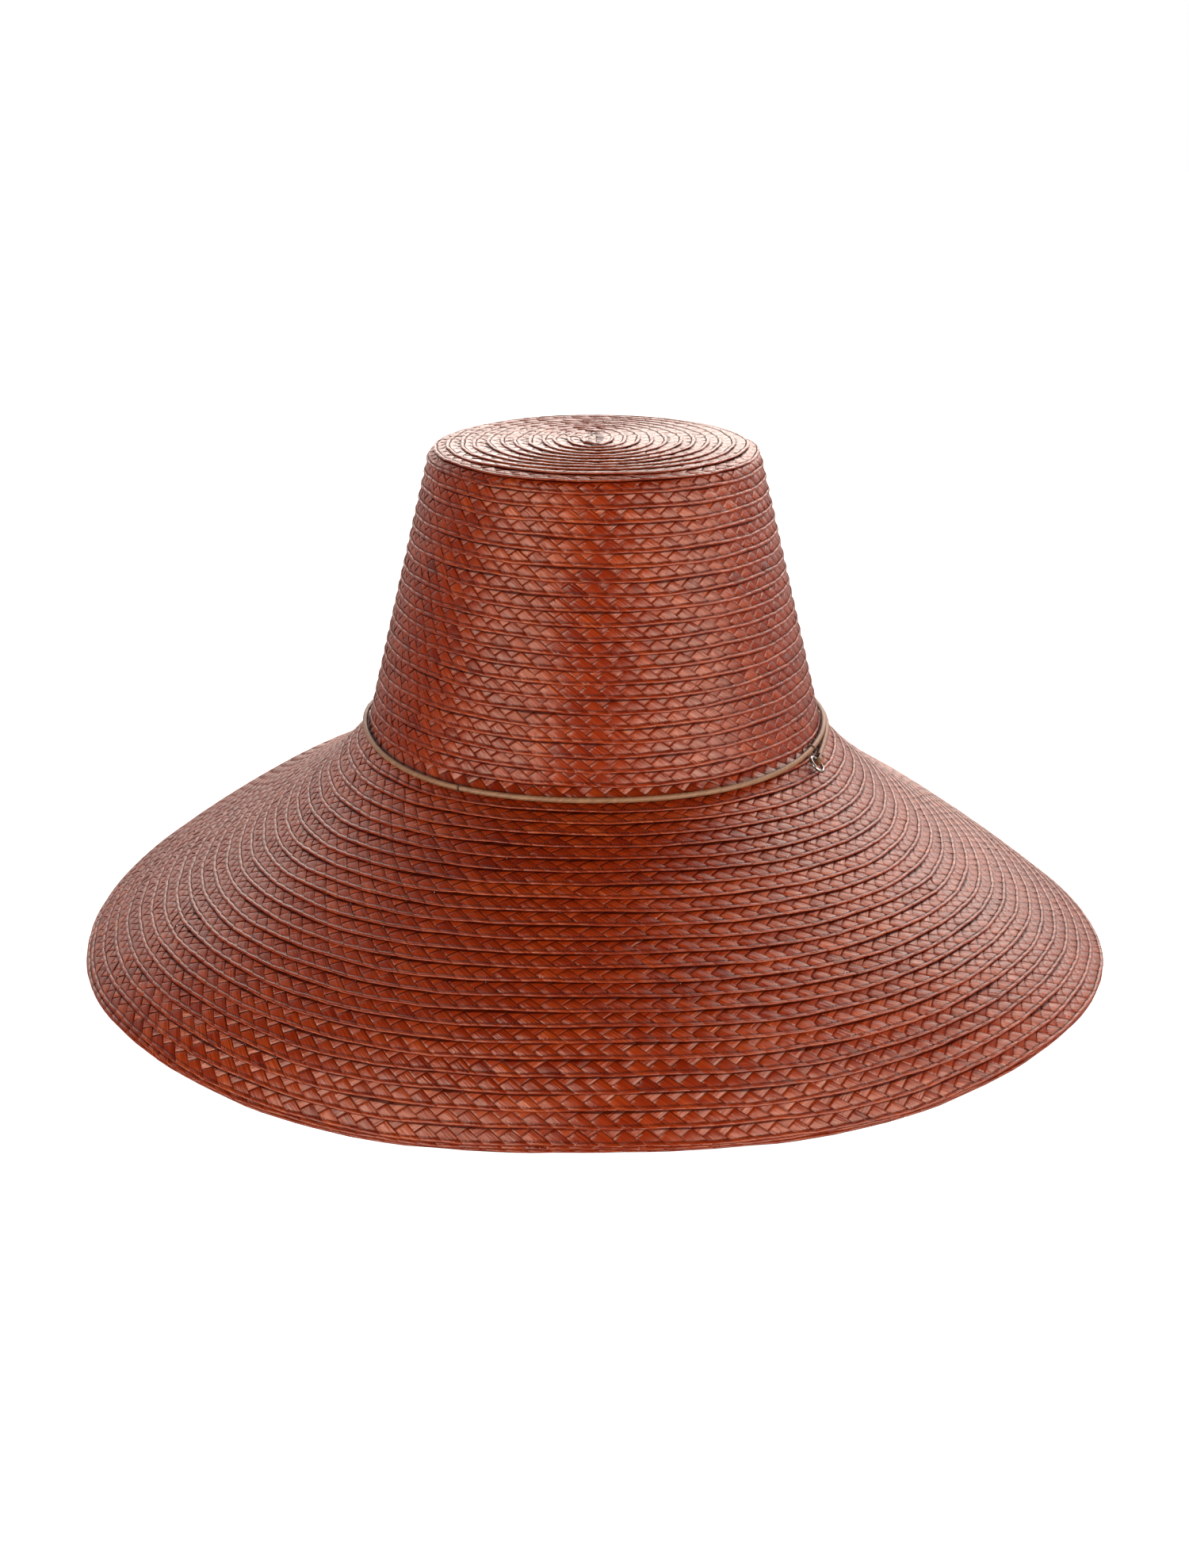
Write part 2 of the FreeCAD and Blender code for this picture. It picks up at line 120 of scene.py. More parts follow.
def ray_heights(tree, widths, angle):
    """Skin height under each oval half-width at an angle; nan past the edge."""
    heights = np.full(len(widths), np.nan)
    for number, width in enumerate(widths):
        x = width * math.sin(angle)
        y = -(width + OVAL_EXTRA) * math.cos(angle)
        hit = tree.ray_cast(Vector((x, y, 1.0)), Vector((0, 0, -1)))[0]
        if hit is not None:
            heights[number] = hit.z
    return heights


def even_steps(widths, heights, count):
    """Points at even distances along one stretch of a profile."""
    run = np.concatenate([[0], np.cumsum(np.hypot(np.diff(widths), np.diff(heights)))])
    where = np.linspace(0, run[-1], count + 1)
    return np.interp(where, run, widths), np.interp(where, run, heights), run[-1]


def smooth_round(table, passes):
    """Evens a table along the closed direction of its angles (axis 1)."""
    for _ in range(passes):
        table = (np.roll(table, 1, 1) + 2 * table + np.roll(table, -1, 1)) / 4
    return table


def smooth_out(table, passes):
    """Evens a table along its distances (axis 0); both ends stay."""
    for _ in range(passes):
        table[1:-1] = (table[:-2] + 2 * table[1:-1] + table[2:]) / 4
    return table


def brim_profile(tree, angle):
    """Half-widths and heights from the crown's base to the brim's edge at one angle."""
    widths = np.arange(ROOT_WIDTH + BRIM_INNER, BRIM_LIMIT, BRIM_SAMPLE)
    heights = ray_heights(tree, widths, angle)
    reach = int(np.argmax(np.isnan(heights)))
    low, high = widths[reach - 1], widths[reach]
    edge_height = heights[reach - 1]
    for _ in range(EDGE_HALVINGS):
        middle = (low + high) / 2
        height = ray_heights(tree, [middle], angle)[0]
        if math.isnan(height):
            high = middle
        else:
            low, edge_height = middle, height
    return (np.concatenate([[ROOT_WIDTH], widths[:reach], [low]]),
            np.concatenate([[lower_lo.z], heights[:reach], [edge_height]]))


def read_skin():
    """Half-width and height tables over distance from the tip's middle, and zone lengths."""
    tree = skin_tree()
    tip_widths = np.linspace(TIP_INNER, TIP_WIDTH - RIM_MARGIN, TIP_SAMPLES)
    crown_widths = np.array([TIP_WIDTH, ROOT_WIDTH])
    crown_heights = np.array([upper_hi.z, lower_lo.z])
    width_columns, height_columns, lengths = [], [], []
    for number in range(SKIN_ANGLES):
        angle = TURN * number / SKIN_ANGLES
        tip = even_steps(tip_widths, ray_heights(tree, tip_widths, angle), TIP_STEPS)
        crown = even_steps(crown_widths, crown_heights, CROWN_STEPS)
        brim = even_steps(*brim_profile(tree, angle), BRIM_STEPS)
        width_columns.append(np.concatenate([tip[0], crown[0][1:], brim[0][1:]]))
        height_columns.append(np.concatenate([tip[1], crown[1][1:], brim[1][1:]]))
        lengths.append((tip[2], crown[2], brim[2]))
    width = smooth_round(np.array(width_columns).T, ROUND_PASSES)
    height = smooth_round(np.array(height_columns).T, ROUND_PASSES)
    return smooth_out(width, OUT_PASSES), smooth_out(height, OUT_PASSES), np.mean(lengths, 0)


skin_width, skin_height, (TIP_LENGTH, CROWN_LENGTH, BRIM_LENGTH) = read_skin()
SKIN_LENGTH = TIP_LENGTH + CROWN_LENGTH + BRIM_LENGTH


def skin_tables():
    """Distances of the table's rows and the slope below level at every entry."""
    distance = np.concatenate([
        np.linspace(0, TIP_LENGTH, TIP_STEPS + 1),
        TIP_LENGTH + np.linspace(0, CROWN_LENGTH, CROWN_STEPS + 1)[1:],
        TIP_LENGTH + CROWN_LENGTH + np.linspace(0, BRIM_LENGTH, BRIM_STEPS + 1)[1:],
    ])
    slope = np.arctan2(-np.gradient(skin_height, axis=0), np.gradient(skin_width, axis=0))
    return distance, smooth_out(slope, SLOPE_PASSES)


skin_distance, skin_slope = skin_tables()
SMALLEST_WIDTH = 0.1 * MM


def skin_at(distance, angle, lift):
    """Points at distances from the tip's middle and angles, lifted off the skin."""
    row = np.interp(distance, skin_distance, np.arange(len(skin_distance)))
    low = np.minimum(row.astype(int), len(skin_distance) - 2)
    across = row - low
    column = np.mod(angle, TURN) / TURN * SKIN_ANGLES
    left = column.astype(int) % SKIN_ANGLES
    right = (left + 1) % SKIN_ANGLES
    along = column - np.floor(column)

    def read(table):
        first = table[low, left] * (1 - along) + table[low, right] * along
        second = table[low + 1, left] * (1 - along) + table[low + 1, right] * along
        return first * (1 - across) + second * across

    slope = read(skin_slope)
    past = np.maximum(distance - SKIN_LENGTH, 0)
    width = read(skin_width) + past * np.cos(slope) + lift * np.sin(slope)
    width = np.maximum(width, SMALLEST_WIDTH)
    height = read(skin_height) - past * np.sin(slope) + lift * np.cos(slope)
    return np.stack([width * np.sin(angle), -(width + OVAL_EXTRA) * np.cos(angle), height], -1)


# ---- materials ------------------------------------------------------------------------------

def shader(name):
    """An empty node material with one Principled shader."""
    material = bpy.data.materials.new(name)
    material.use_nodes = True
    return material, material.node_tree, material.node_tree.nodes["Principled BSDF"]


def attribute(tree, name, output="Fac"):
    """Reads a layer that the mesh carries."""
    made = tree.nodes.new("ShaderNodeAttribute")
    made.attribute_name = name
    return made.outputs[output]


def object_place(tree):
    """The point being shaded, in metres on its piece."""
    return tree.nodes.new("ShaderNodeTexCoord").outputs["Object"]


def ramp(tree, stops):
    """A colour ramp from (place, red, green, blue) stops."""
    made = tree.nodes.new("ShaderNodeValToRGB")
    elements = made.color_ramp.elements
    while len(elements) < len(stops):
        elements.new(0.5)
    for element, (place_at, *color) in zip(elements, stops):
        element.position = place_at
        element.color = (*color, 1)
    return made


def noise(tree, vector, scale, stretch=(1, 1, 1), detail=3.0):
    """Noise read at a vector, stretched along its axes."""
    mapping = tree.nodes.new("ShaderNodeMapping")
    mapping.inputs["Scale"].default_value = stretch
    tree.links.new(vector, mapping.inputs["Vector"])
    made = tree.nodes.new("ShaderNodeTexNoise")
    made.inputs["Scale"].default_value = scale
    made.inputs["Detail"].default_value = detail
    tree.links.new(mapping.outputs["Vector"], made.inputs["Vector"])
    return made.outputs["Fac"]


def combine(tree, operation, first, second):
    """Arithmetic on two values; each is a socket or a number."""
    made = tree.nodes.new("ShaderNodeMath")
    made.operation = operation
    for socket, value in zip(made.inputs, (first, second)):
        if isinstance(value, (int, float)):
            socket.default_value = value
        else:
            tree.links.new(value, socket)
    return made.outputs[0]


def weighted(tree, value, weight, start=0.0):
    """start + weight * value."""
    return combine(tree, "ADD", start, combine(tree, "MULTIPLY", value, weight))


def mix_color(tree, share, first, second):
    """Mixes two colours; each is a socket or a tuple of red, green and blue."""
    made = tree.nodes.new("ShaderNodeMix")
    made.data_type = "RGBA"
    tree.links.new(share, made.inputs["Factor"])
    for socket, value in ((made.inputs[6], first), (made.inputs[7], second)):
        if isinstance(value, tuple):
            socket.default_value = (*value, 1)
        else:
            tree.links.new(value, socket)
    return made.outputs[2]


def set_bump(tree, surface, height, strength, distance):
    """Fine relief in the surface; distance is its depth in metres."""
    bump = tree.nodes.new("ShaderNodeBump")
    bump.inputs["Strength"].default_value = strength
    bump.inputs["Distance"].default_value = distance
    tree.links.new(height, bump.inputs["Height"])
    tree.links.new(bump.outputs["Normal"], surface.inputs["Normal"])


def step_up(tree, value, low, high):
    """0 below low, 1 above high, smooth between."""
    made = tree.nodes.new("ShaderNodeMapRange")
    made.interpolation_type = "SMOOTHSTEP"
    tree.links.new(value, made.inputs["Value"])
    made.inputs["From Min"].default_value = low
    made.inputs["From Max"].default_value = high
    return made.outputs["Result"]


# Dyed palm leaf, from its darkest to its palest fibres.
STRAW_STOPS = ((0.0, 0.056, 0.003, 0.001), (0.25, 0.117, 0.007, 0.001), (0.5, 0.183, 0.015, 0.001),
               (0.75, 0.266, 0.033, 0.004), (1.0, 0.385, 0.088, 0.025))
# Colour of the painted shade in gaps between strips, in the folds and under the next row.
STRAW_SHADE_COLOR = (0.020, 0.002, 0.001)
# Grains of the leaf: how much the fine fibres, the wide veins and the dyed patches show.
FINE_SHARE, COARSE_SHARE, PATCH_SHARE = 1.10, 0.45, 0.25
# Half-width of a strip, in its fibre coordinate, where painted shade begins to darken its edge and where it
# ends.
EDGE_DARK = (1.90, 2.04)
EDGE_WEIGHT = 0.55
FOLD_CLEAR = (0.20, 0.30)    # heights in the row where the painted shade at the edges fades in above the fold
TUCK_DARK = (0.90, 0.96)     # heights in the row where it goes under the row before it; painted shade there
TUCK_WEIGHT = 0.85


def straw_painted_shade(tree, across, height):
    """Painted shade at each point: in the gaps at strip edges, under the next row, and in the folds."""
    edge = combine(tree, "MULTIPLY", step_up(tree, across, *EDGE_DARK), EDGE_WEIGHT)
    edge = combine(tree, "MULTIPLY", edge, step_up(tree, height, *FOLD_CLEAR))
    tuck = combine(tree, "MULTIPLY", step_up(tree, height, *TUCK_DARK), TUCK_WEIGHT)
    return combine(tree, "MAXIMUM", combine(tree, "MAXIMUM", edge, tuck), attribute(tree, "painted_shade"))


def make_straw():
    """Dyed palm leaf: rust to maroon strips, fine fibres along each strip, satin sheen, painted shade in
    gaps and creases.
    """
    material, tree, surface = shader("palm_straw")
    fibre = attribute(tree, "fibre", "Vector")
    fine = noise(tree, fibre, 1.0, (3.6, 0.08, 1), 3.0)
    coarse = noise(tree, fibre, 1.0, (1.1, 0.04, 1), 2.0)
    patch = noise(tree, object_place(tree), 45.0)
    tone = attribute(tree, "tone")
    for grain, weight in ((fine, FINE_SHARE), (coarse, COARSE_SHARE), (patch, PATCH_SHARE)):
        tone = weighted(tree, combine(tree, "SUBTRACT", grain, 0.5), weight, tone)
    colors = ramp(tree, STRAW_STOPS)
    tree.links.new(tone, colors.inputs["Fac"])
    split = tree.nodes.new("ShaderNodeSeparateXYZ")
    tree.links.new(fibre, split.inputs["Vector"])
    across = combine(tree, "ABSOLUTE", split.outputs["X"], 0.0)
    # Painted shade darkens the colour in the gaps, folds and under the next row.
    painted_shade = straw_painted_shade(tree, across, attribute(tree, "height"))
    color = mix_color(tree, painted_shade, colors.outputs["Color"], STRAW_SHADE_COLOR)
    tree.links.new(color, surface.inputs["Base Color"])
    tree.links.new(weighted(tree, fine, 0.20, 0.12), surface.inputs["Roughness"])
    # The painted shade also dims the sheen there.
    unshaded = combine(tree, "SUBTRACT", 1.0, painted_shade)
    tree.links.new(combine(tree, "MULTIPLY", unshaded, 0.64), surface.inputs["Specular IOR Level"])
    surface.inputs["Specular Tint"].default_value = (1.0, 0.84, 0.70, 1)
    arch = combine(tree, "MULTIPLY", combine(tree, "MULTIPLY", across, across), -0.5)
    grain = combine(tree, "ADD", fine, coarse)
    set_bump(tree, surface, combine(tree, "ADD", grain, arch), 1.0, 0.22 * MM)
    return material


def make_woven(name, dark, light, scale, roughness, stretch=(1, 1, 1), bump=0.1 * MM):
    """Thread, ribbon, leather or loose fibre: two tones of one colour in a fine grain."""
    material, tree, surface = shader(name)
    place_in = object_place(tree)
    grain = noise(tree, place_in, scale, stretch, 4.0)
    patch = noise(tree, place_in, scale * 0.05)
    colors = ramp(tree, ((0.3, *dark), (0.7, *light)))
    tree.links.new(weighted(tree, grain, 0.7, weighted(tree, patch, 0.3)), colors.inputs["Fac"])
    tree.links.new(colors.outputs["Color"], surface.inputs["Base Color"])
    tree.links.new(weighted(tree, grain, 0.16, roughness - 0.08), surface.inputs["Roughness"])
    surface.inputs["Sheen Weight"].default_value = 0.04
    surface.inputs["Specular IOR Level"].default_value = 0.25
    set_bump(tree, surface, grain, 0.5, bump)
    return material


CORD_STOPS = ((0.3, 0.115, 0.050, 0.022), (0.5, 0.195, 0.092, 0.042), (0.72, 0.290, 0.155, 0.082))
NICKEL_STOPS = ((0.3, 0.16, 0.15, 0.145), (0.7, 0.42, 0.40, 0.38))


def make_cord_material():
    """Waxed tan cord: fibres twisted along it, in darker and paler streaks."""
    material, tree, surface = shader("waxed_cord")
    fibre = attribute(tree, "fibre", "Vector")
    fine = noise(tree, fibre, 1.0, (5.0, 1.1, 1), 4.0)
    patch = noise(tree, fibre, 1.0, (0.3, 0.12, 1), 3.0)
    colors = ramp(tree, CORD_STOPS)
    tree.links.new(weighted(tree, fine, 0.5, weighted(tree, patch, 0.5)), colors.inputs["Fac"])
    tree.links.new(colors.outputs["Color"], surface.inputs["Base Color"])
    tree.links.new(weighted(tree, fine, 0.25, 0.38), surface.inputs["Roughness"])
    set_bump(tree, surface, fine, 0.5, 0.1 * MM)
    return material


def make_metal():
    """Nickel-plated wire with fine scratches and duller patches."""
    material, tree, surface = shader("nickel")
    place_in = object_place(tree)
    scratches = noise(tree, place_in, 2500.0, (1, 0.15, 1), 3.0)
    patch = noise(tree, place_in, 500.0)
    colors = ramp(tree, NICKEL_STOPS)
    tree.links.new(patch, colors.inputs["Fac"])
    tree.links.new(colors.outputs["Color"], surface.inputs["Base Color"])
    surface.inputs["Metallic"].default_value = 1.0
    tree.links.new(weighted(tree, scratches, 0.25, 0.14), surface.inputs["Roughness"])
    set_bump(tree, surface, scratches, 0.2, 0.02 * MM)
    return material


straw_material = make_straw()
# Name, dark tone, light tone, grain scale, roughness and stretch of each woven or fibrous material.
splinter_material = make_woven("pale_straw", (0.330, 0.120, 0.070), (0.600, 0.380, 0.290), 900.0, 0.5)
# The seam thread is coloured darker than the straw-coloured real thread, as painted shade of the stitch
# holes.
seam_material = make_woven("seam_thread", (0.016, 0.002, 0.001), (0.070, 0.010, 0.004), 1500.0, 0.7)
tack_material = make_woven("tack_thread", (0.022, 0.008, 0.004), (0.085, 0.035, 0.018), 1800.0, 0.65)
band_material = make_woven("band_cotton", (0.050, 0.012, 0.008), (0.120, 0.032, 0.022), 1200.0, 0.85,
                           (1, 1, 4))
ribbon_material = make_woven("ribbon", (0.040, 0.010, 0.008), (0.100, 0.026, 0.018), 1600.0, 0.7,
                             (4, 1, 1))
band_thread_material = make_woven("band_thread", (0.120, 0.030, 0.020), (0.260, 0.090, 0.060), 1500.0, 0.7)
label_material = make_woven("label_satin", (0.560, 0.500, 0.410), (0.760, 0.710, 0.620), 1400.0, 0.5,
                            (1, 1, 6))
leather_material = make_woven("wrap_leather", (0.070, 0.028, 0.012), (0.250, 0.110, 0.048), 700.0, 0.5)
cord_material = make_cord_material()
metal_material = make_metal()


# ---- meshes ---------------------------------------------------------------------------------

def run_along(points):
    """Length along a path up to each of its points."""
    return np.concatenate([[0], np.cumsum(np.linalg.norm(np.diff(points, axis=0), axis=1))])


def unit(vectors):
    """Vectors along the last axis, scaled to length 1."""
    return vectors / np.linalg.norm(vectors, axis=-1, keepdims=True)


def new_mesh(name, points, faces, smooth=True):
    """A linked object from points and faces that all have the same number of corners."""
    mesh = bpy.data.meshes.new(name)
    mesh.vertices.add(len(points))
    mesh.vertices.foreach_set("co", np.asarray(points, np.float32).ravel())
    faces = np.asarray(faces, np.int32)
    mesh.loops.add(faces.size)
    mesh.loops.foreach_set("vertex_index", faces.ravel())
    mesh.polygons.add(len(faces))
    mesh.polygons.foreach_set("loop_start", np.arange(0, faces.size, faces.shape[1], dtype=np.int32))
    mesh.polygons.foreach_set("use_smooth", np.full(len(faces), smooth))
    mesh.update(calc_edges=True)
    piece = bpy.data.objects.new(name, mesh)
    bpy.context.scene.collection.objects.link(piece)
    return piece


def tube_faces(stations, sides, first=0):
    """Quads of a closed tube of stations, without its end caps."""
    station = np.arange(stations - 1)[:, None] * sides
    side = np.arange(sides)[None, :]
    after = (side + 1) % sides
    quads = np.stack([station + side, station + after, station + sides + after, station + sides + side], -1)
    return quads.reshape(-1, 4)[:, ::-1] + first


def close_ends(piece):
    """Fills the open ends of a tube."""
    shape = bmesh.new()
    shape.from_mesh(piece.data)
    open_edges = [edge for edge in shape.edges if edge.is_boundary]
    bmesh.ops.holes_fill(shape, edges=open_edges, sides=64)
    shape.to_mesh(piece.data)
    shape.free()


def new_tube(name, points):
    """A closed tube through rings of points: an array of stations, sides and coordinates."""
    stations, sides = points.shape[:2]
    piece = new_mesh(name, points.reshape(-1, 3), tube_faces(stations, sides))
    close_ends(piece)
    return piece


def weld(piece):
    """Joins the points where a closed sheet meets itself."""
    shape = bmesh.new()
    shape.from_mesh(piece.data)
    bmesh.ops.remove_doubles(shape, verts=shape.verts, dist=0.001 * MM)
    shape.to_mesh(piece.data)
    shape.free()


def point_layer(mesh, name, values):
    """Stores one number or one vector per point, for the material."""
    values = np.asarray(values, np.float32)
    is_vector = values.ndim > 1
    layer = mesh.attributes.new(name, "FLOAT_VECTOR" if is_vector else "FLOAT", "POINT")
    layer.data.foreach_set("vector" if is_vector else "value", values.ravel())


def settle(piece, material, node=None):
    """Gives a piece its material and slot, fixes it to the hat, and hides the CAD node it replaces."""
    piece.data.materials.append(material)
    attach(piece, "hat")
    if node:
        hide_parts(node)


# ---- the spiral: turn angle and braid length -------------------------------------------------
SPIRAL_START = 3.2 * MM
SPIRAL_HEADING = math.pi     # the braid starts and ends at the back
BRIM_START = TIP_LENGTH + CROWN_LENGTH
CROWN_TURNS = (BRIM_START - SPIRAL_START) / CROWN_ROW
BRIM_TURNS = BRIM_LENGTH / BRIM_ROW
LAST_TURN = (CROWN_TURNS + BRIM_TURNS + 1) * TURN


def row_distance(turn):
    """Distance of a row's lower edge from the tip's middle, along the spiral."""
    crown = SPIRAL_START + CROWN_ROW * turn / TURN
    brim = BRIM_START + BRIM_ROW * (turn / TURN - CROWN_TURNS)
    return np.minimum(np.where(crown < BRIM_START, crown, brim), SKIN_LENGTH)


spiral_turn = np.arange(0, LAST_TURN, math.radians(1.0))


def spiral_length():
    """Length of the braid, along the middle of its exposed part, up to each turn angle."""
    distance = row_distance(spiral_turn) - CROWN_ROW / 2
    return run_along(skin_at(distance, spiral_turn + SPIRAL_HEADING, 0 * spiral_turn))


spiral_run = spiral_length()


def run_at(distance):
    """Length of braid where the spiral's lower edge reaches a distance."""
    turn = np.interp(distance, row_distance(spiral_turn), spiral_turn)
    return float(np.interp(turn, spiral_turn, spiral_run))


WOBBLE_WAVES = ((0.5, 1.0), (0.3, 2.3), (0.2, 5.1))    # share and frequency of each wave


def wobble(run, amount, wave, phase):
    """Gentle unevenness along the braid."""
    total = 0
    for share, factor in WOBBLE_WAVES:
        total = total + share * np.sin(run / wave * factor * TURN + phase * (1 + factor))
    return amount * total


TIP_RIM = (TIP_LENGTH - 8 * MM, TIP_LENGTH + 4 * MM)
TIP_ROW_LIFT = 0.42 * MM     # rows on the tip lie flatter on each other
EYE_GAP = 0.4 * MM           # room left free in the middle of the tip
EDGE_WOBBLE = (0.75 * MM, 0.45 * MM)    # how uneven the rows' edges are on the tip and elsewhere
HEIGHT_WOBBLE = 0.07 * MM
EDGE_WAVE, HEIGHT_WAVE = 83 * MM, 43 * MM


def lay(run, up, lift):
    """Braid coordinates to space: run along the braid, up from its lower edge, lift off it."""
    turn = np.interp(run, spiral_run, spiral_turn)
    edge = row_distance(turn)
    room = np.clip((edge - EYE_GAP) / BRAID_WIDTH, 0.05, 1)
    gap = edge - row_distance(turn - TURN)
    row_lift = np.interp(edge, TIP_RIM, (TIP_ROW_LIFT, ROW_LIFT))
    sink = np.where(turn > TURN, np.clip(1 - gap / CROWN_ROW, 0, 1), 0) * row_lift
    unevenness = np.interp(edge, TIP_RIM, EDGE_WOBBLE)
    distance = edge - up * room + wobble(run, unevenness, EDGE_WAVE, 0.4)
    drop = SKIN_DROP + sink + row_lift * up / CROWN_ROW + wobble(run, HEIGHT_WOBBLE, HEIGHT_WAVE, 1.9)
    return skin_at(distance, turn + SPIRAL_HEADING, lift - drop)


# ---- one palm strip of the plait ------------------------------------------------------------
# A strip runs down over its neighbour, folds round the lower edge, and runs back up, under its
# neighbour and then over the next one.  Each station of a leg has: its height over the lower
# edge, the rise of the downward leg, the rise of the upward leg (all in millimetres), how far
# the cut across the strip turns from level (0) towards the other strips' direction (1), and how
# much painted shade lies there: under the folds, in the stitch valley and where the strip dives under.
LEG = ((0.00, 0.00, 0.00, 0.00, 0.25), (0.12, 0.24, -0.12, 0.00, 0.10), (0.45, 0.36, -0.11, 0.00, 0.00),
       (0.90, 0.30, -0.10, 0.00, 0.00), (1.30, -0.02, -0.10, 0.00, 0.35), (1.75, 0.10, -0.10, 0.15, 0.00),
       (3.45, 0.12, -0.10, 1.00, 0.00), (3.70, 0.12, -0.10, 1.00, 0.00), (3.95, -0.10, -0.10, 1.00, 0.60),
       (4.20, -0.10, 0.12, 1.00, 0.00), (4.45, -0.10, 0.12, 0.95, 0.00), (6.20, -0.10, 0.11, 0.30, 0.00),
       (7.20, -0.10, 0.10, 0.00, 0.00), (7.86, -0.07, 0.07, 0.00, 0.30))
# Painted shade at the upper fold.
TOP_SHADE = 0.5               # the same at the upper fold
# The strip's cross-section: places across it in widths, and distances off its middle in millimetres.
ACROSS = (-0.5, 0.5, 0.5, -0.5)
BULGE = (0.07, 0.07, -0.07, -0.07)


def zigzag():
    """Arrays of up, rise, forward travel, slant and painted shade for one whole zigzag of a strip."""
    up, down_rise, up_rise, turned, painted_shade = np.array(LEG).T
    top = BRAID_WIDTH / MM
    heights = np.concatenate([[top], up[:0:-1], up]) * MM
    rises = np.concatenate([[0.0], down_rise[:0:-1], up_rise]) * MM
    slant = np.concatenate([[0.0], turned[:0:-1], -turned]) * STRIP_SLOPE / 2
    down = len(up)
    forward = np.concatenate([BRAID_WIDTH - heights[:down], BRAID_WIDTH + heights[down:]]) / STRIP_SLOPE
    return heights, rises, forward, slant, np.concatenate([[TOP_SHADE], painted_shade[:0:-1], painted_shade])


ZIG_UP, ZIG_RISE, ZIG_FORWARD, ZIG_SLANT, ZIG_SHADE = zigzag()
ZIG_STATIONS = len(ZIG_UP)
ZIG_HEADING = np.where(np.arange(ZIG_STATIONS) < len(LEG), -1, 1)
PERIOD = STRANDS * PITCH
PERIODS = int(spiral_run[-1] / PERIOD)
STRIP_PERIODS = 14           # zigzags before a strip of leaf is used up and another takes over
STRIP_TABLE = (STRANDS, PERIODS + 2)
strip_width = 1 + 0.02 * rng.standard_normal(STRIP_TABLE)
strip_shift = 0.10 * MM * rng.standard_normal(STRIP_TABLE)
strip_lift = 0.03 * MM * rng.standard_normal(STRIP_TABLE)
strip_tilt = 0.06 * MM * rng.standard_normal(STRIP_TABLE)
strip_tone = rng.normal(0.5, 0.06, (STRANDS, PERIODS // STRIP_PERIODS + 2))
leg_tone = 0.045 * rng.standard_normal(STRIP_TABLE)


FREE_FROM, FREE_OVER = 1.2 * MM, 0.8 * MM    # height over the fold where strips begin to lie unevenly
FIBRE_ALONG, FIBRE_ACROSS = 1.25, 0.6        # fibre coordinates per millimetre of strip
FIBRE_STRAND = 37.0                          # keeps the grain of the three strips apart


def strip_face(up, rise):
    """Direction in which a strip faces at each of its stations, as up and rise."""
    turn_up = np.roll(up, -1) - np.roll(up, 1)
    turn_rise = np.roll(rise, -1) - np.roll(rise, 1)
    for end in (0, -1):
        turn_up[end], turn_rise[end] = turn_up[ZIG_STATIONS], turn_rise[ZIG_STATIONS]
    size = np.hypot(turn_up, turn_rise)
    return turn_rise / size, -turn_up / size


def strip_points(strand, first, last, place_point, row):
    """Points of one strip from one zigzag to another, with what its material reads there."""
    period = np.append(np.repeat(np.arange(first, last), ZIG_STATIONS), last)
    step = np.append(np.tile(np.arange(ZIG_STATIONS), last - first), 0)
    up, rise, slant, heading = ZIG_UP[step], ZIG_RISE[step], ZIG_SLANT[step], ZIG_HEADING[step]
    run = period * PERIOD + strand * PITCH + ZIG_FORWARD[step]
    along = (period * PERIOD + ZIG_FORWARD[step]) / MM * FIBRE_ALONG
    width = strip_width[strand, period] * (PITCH + STRIP_OVERLAP)
    face_up, face_rise = strip_face(up, rise)
    freedom = np.clip((up - FREE_FROM) / FREE_OVER, 0, 1)
    points, fibre, height = [], [], []
    for across, bulge in zip(ACROSS, BULGE):
        aside = across * width
        raised = slant * aside
        point_run = run + heading * raised / STRIP_SLOPE + aside + strip_shift[strand, period]
        point_up = up + raised + face_up * bulge * MM
        uneven = strip_lift[strand, period] + 2 * across * strip_tilt[strand, period]
        point_rise = rise + face_rise * bulge * MM + freedom * uneven
        points.append(place_point(point_run, point_up, point_rise))
        height.append((up + raised) / row)
        fibre.append(np.stack([aside / MM * FIBRE_ACROSS, along, 0 * along + strand * FIBRE_STRAND], -1))
    tone = strip_tone[strand, period // STRIP_PERIODS] + leg_tone[strand, period]
    tone = np.repeat(tone[:, None], len(ACROSS), 1)
    # Painted shade of each station, the same across the strip.
    painted_shade = np.repeat(ZIG_SHADE[step][:, None], len(ACROSS), 1)
    return np.stack(points, 1), np.stack(fibre, 1), tone, painted_shade, np.stack(height, 1)


def mark_strip_edges(mesh, sides):
    """Keeps the long edges of the strips crisp, while their folds stay smooth."""
    ends = np.zeros(len(mesh.edges) * 2, np.int32)
    mesh.edges.foreach_get("vertices", ends)
    sharp = np.abs(ends[::2] - ends[1::2]) == sides
    layer = mesh.attributes.new("sharp_edge", "BOOLEAN", "EDGE")
    layer.data.foreach_set("value", sharp)


CELL_MARGIN = 0.06
CELL_CUTS = (CELL_MARGIN, 0.46, 0.50, 0.90, 1 - CELL_MARGIN)    # where a cell splits into a strip's sides


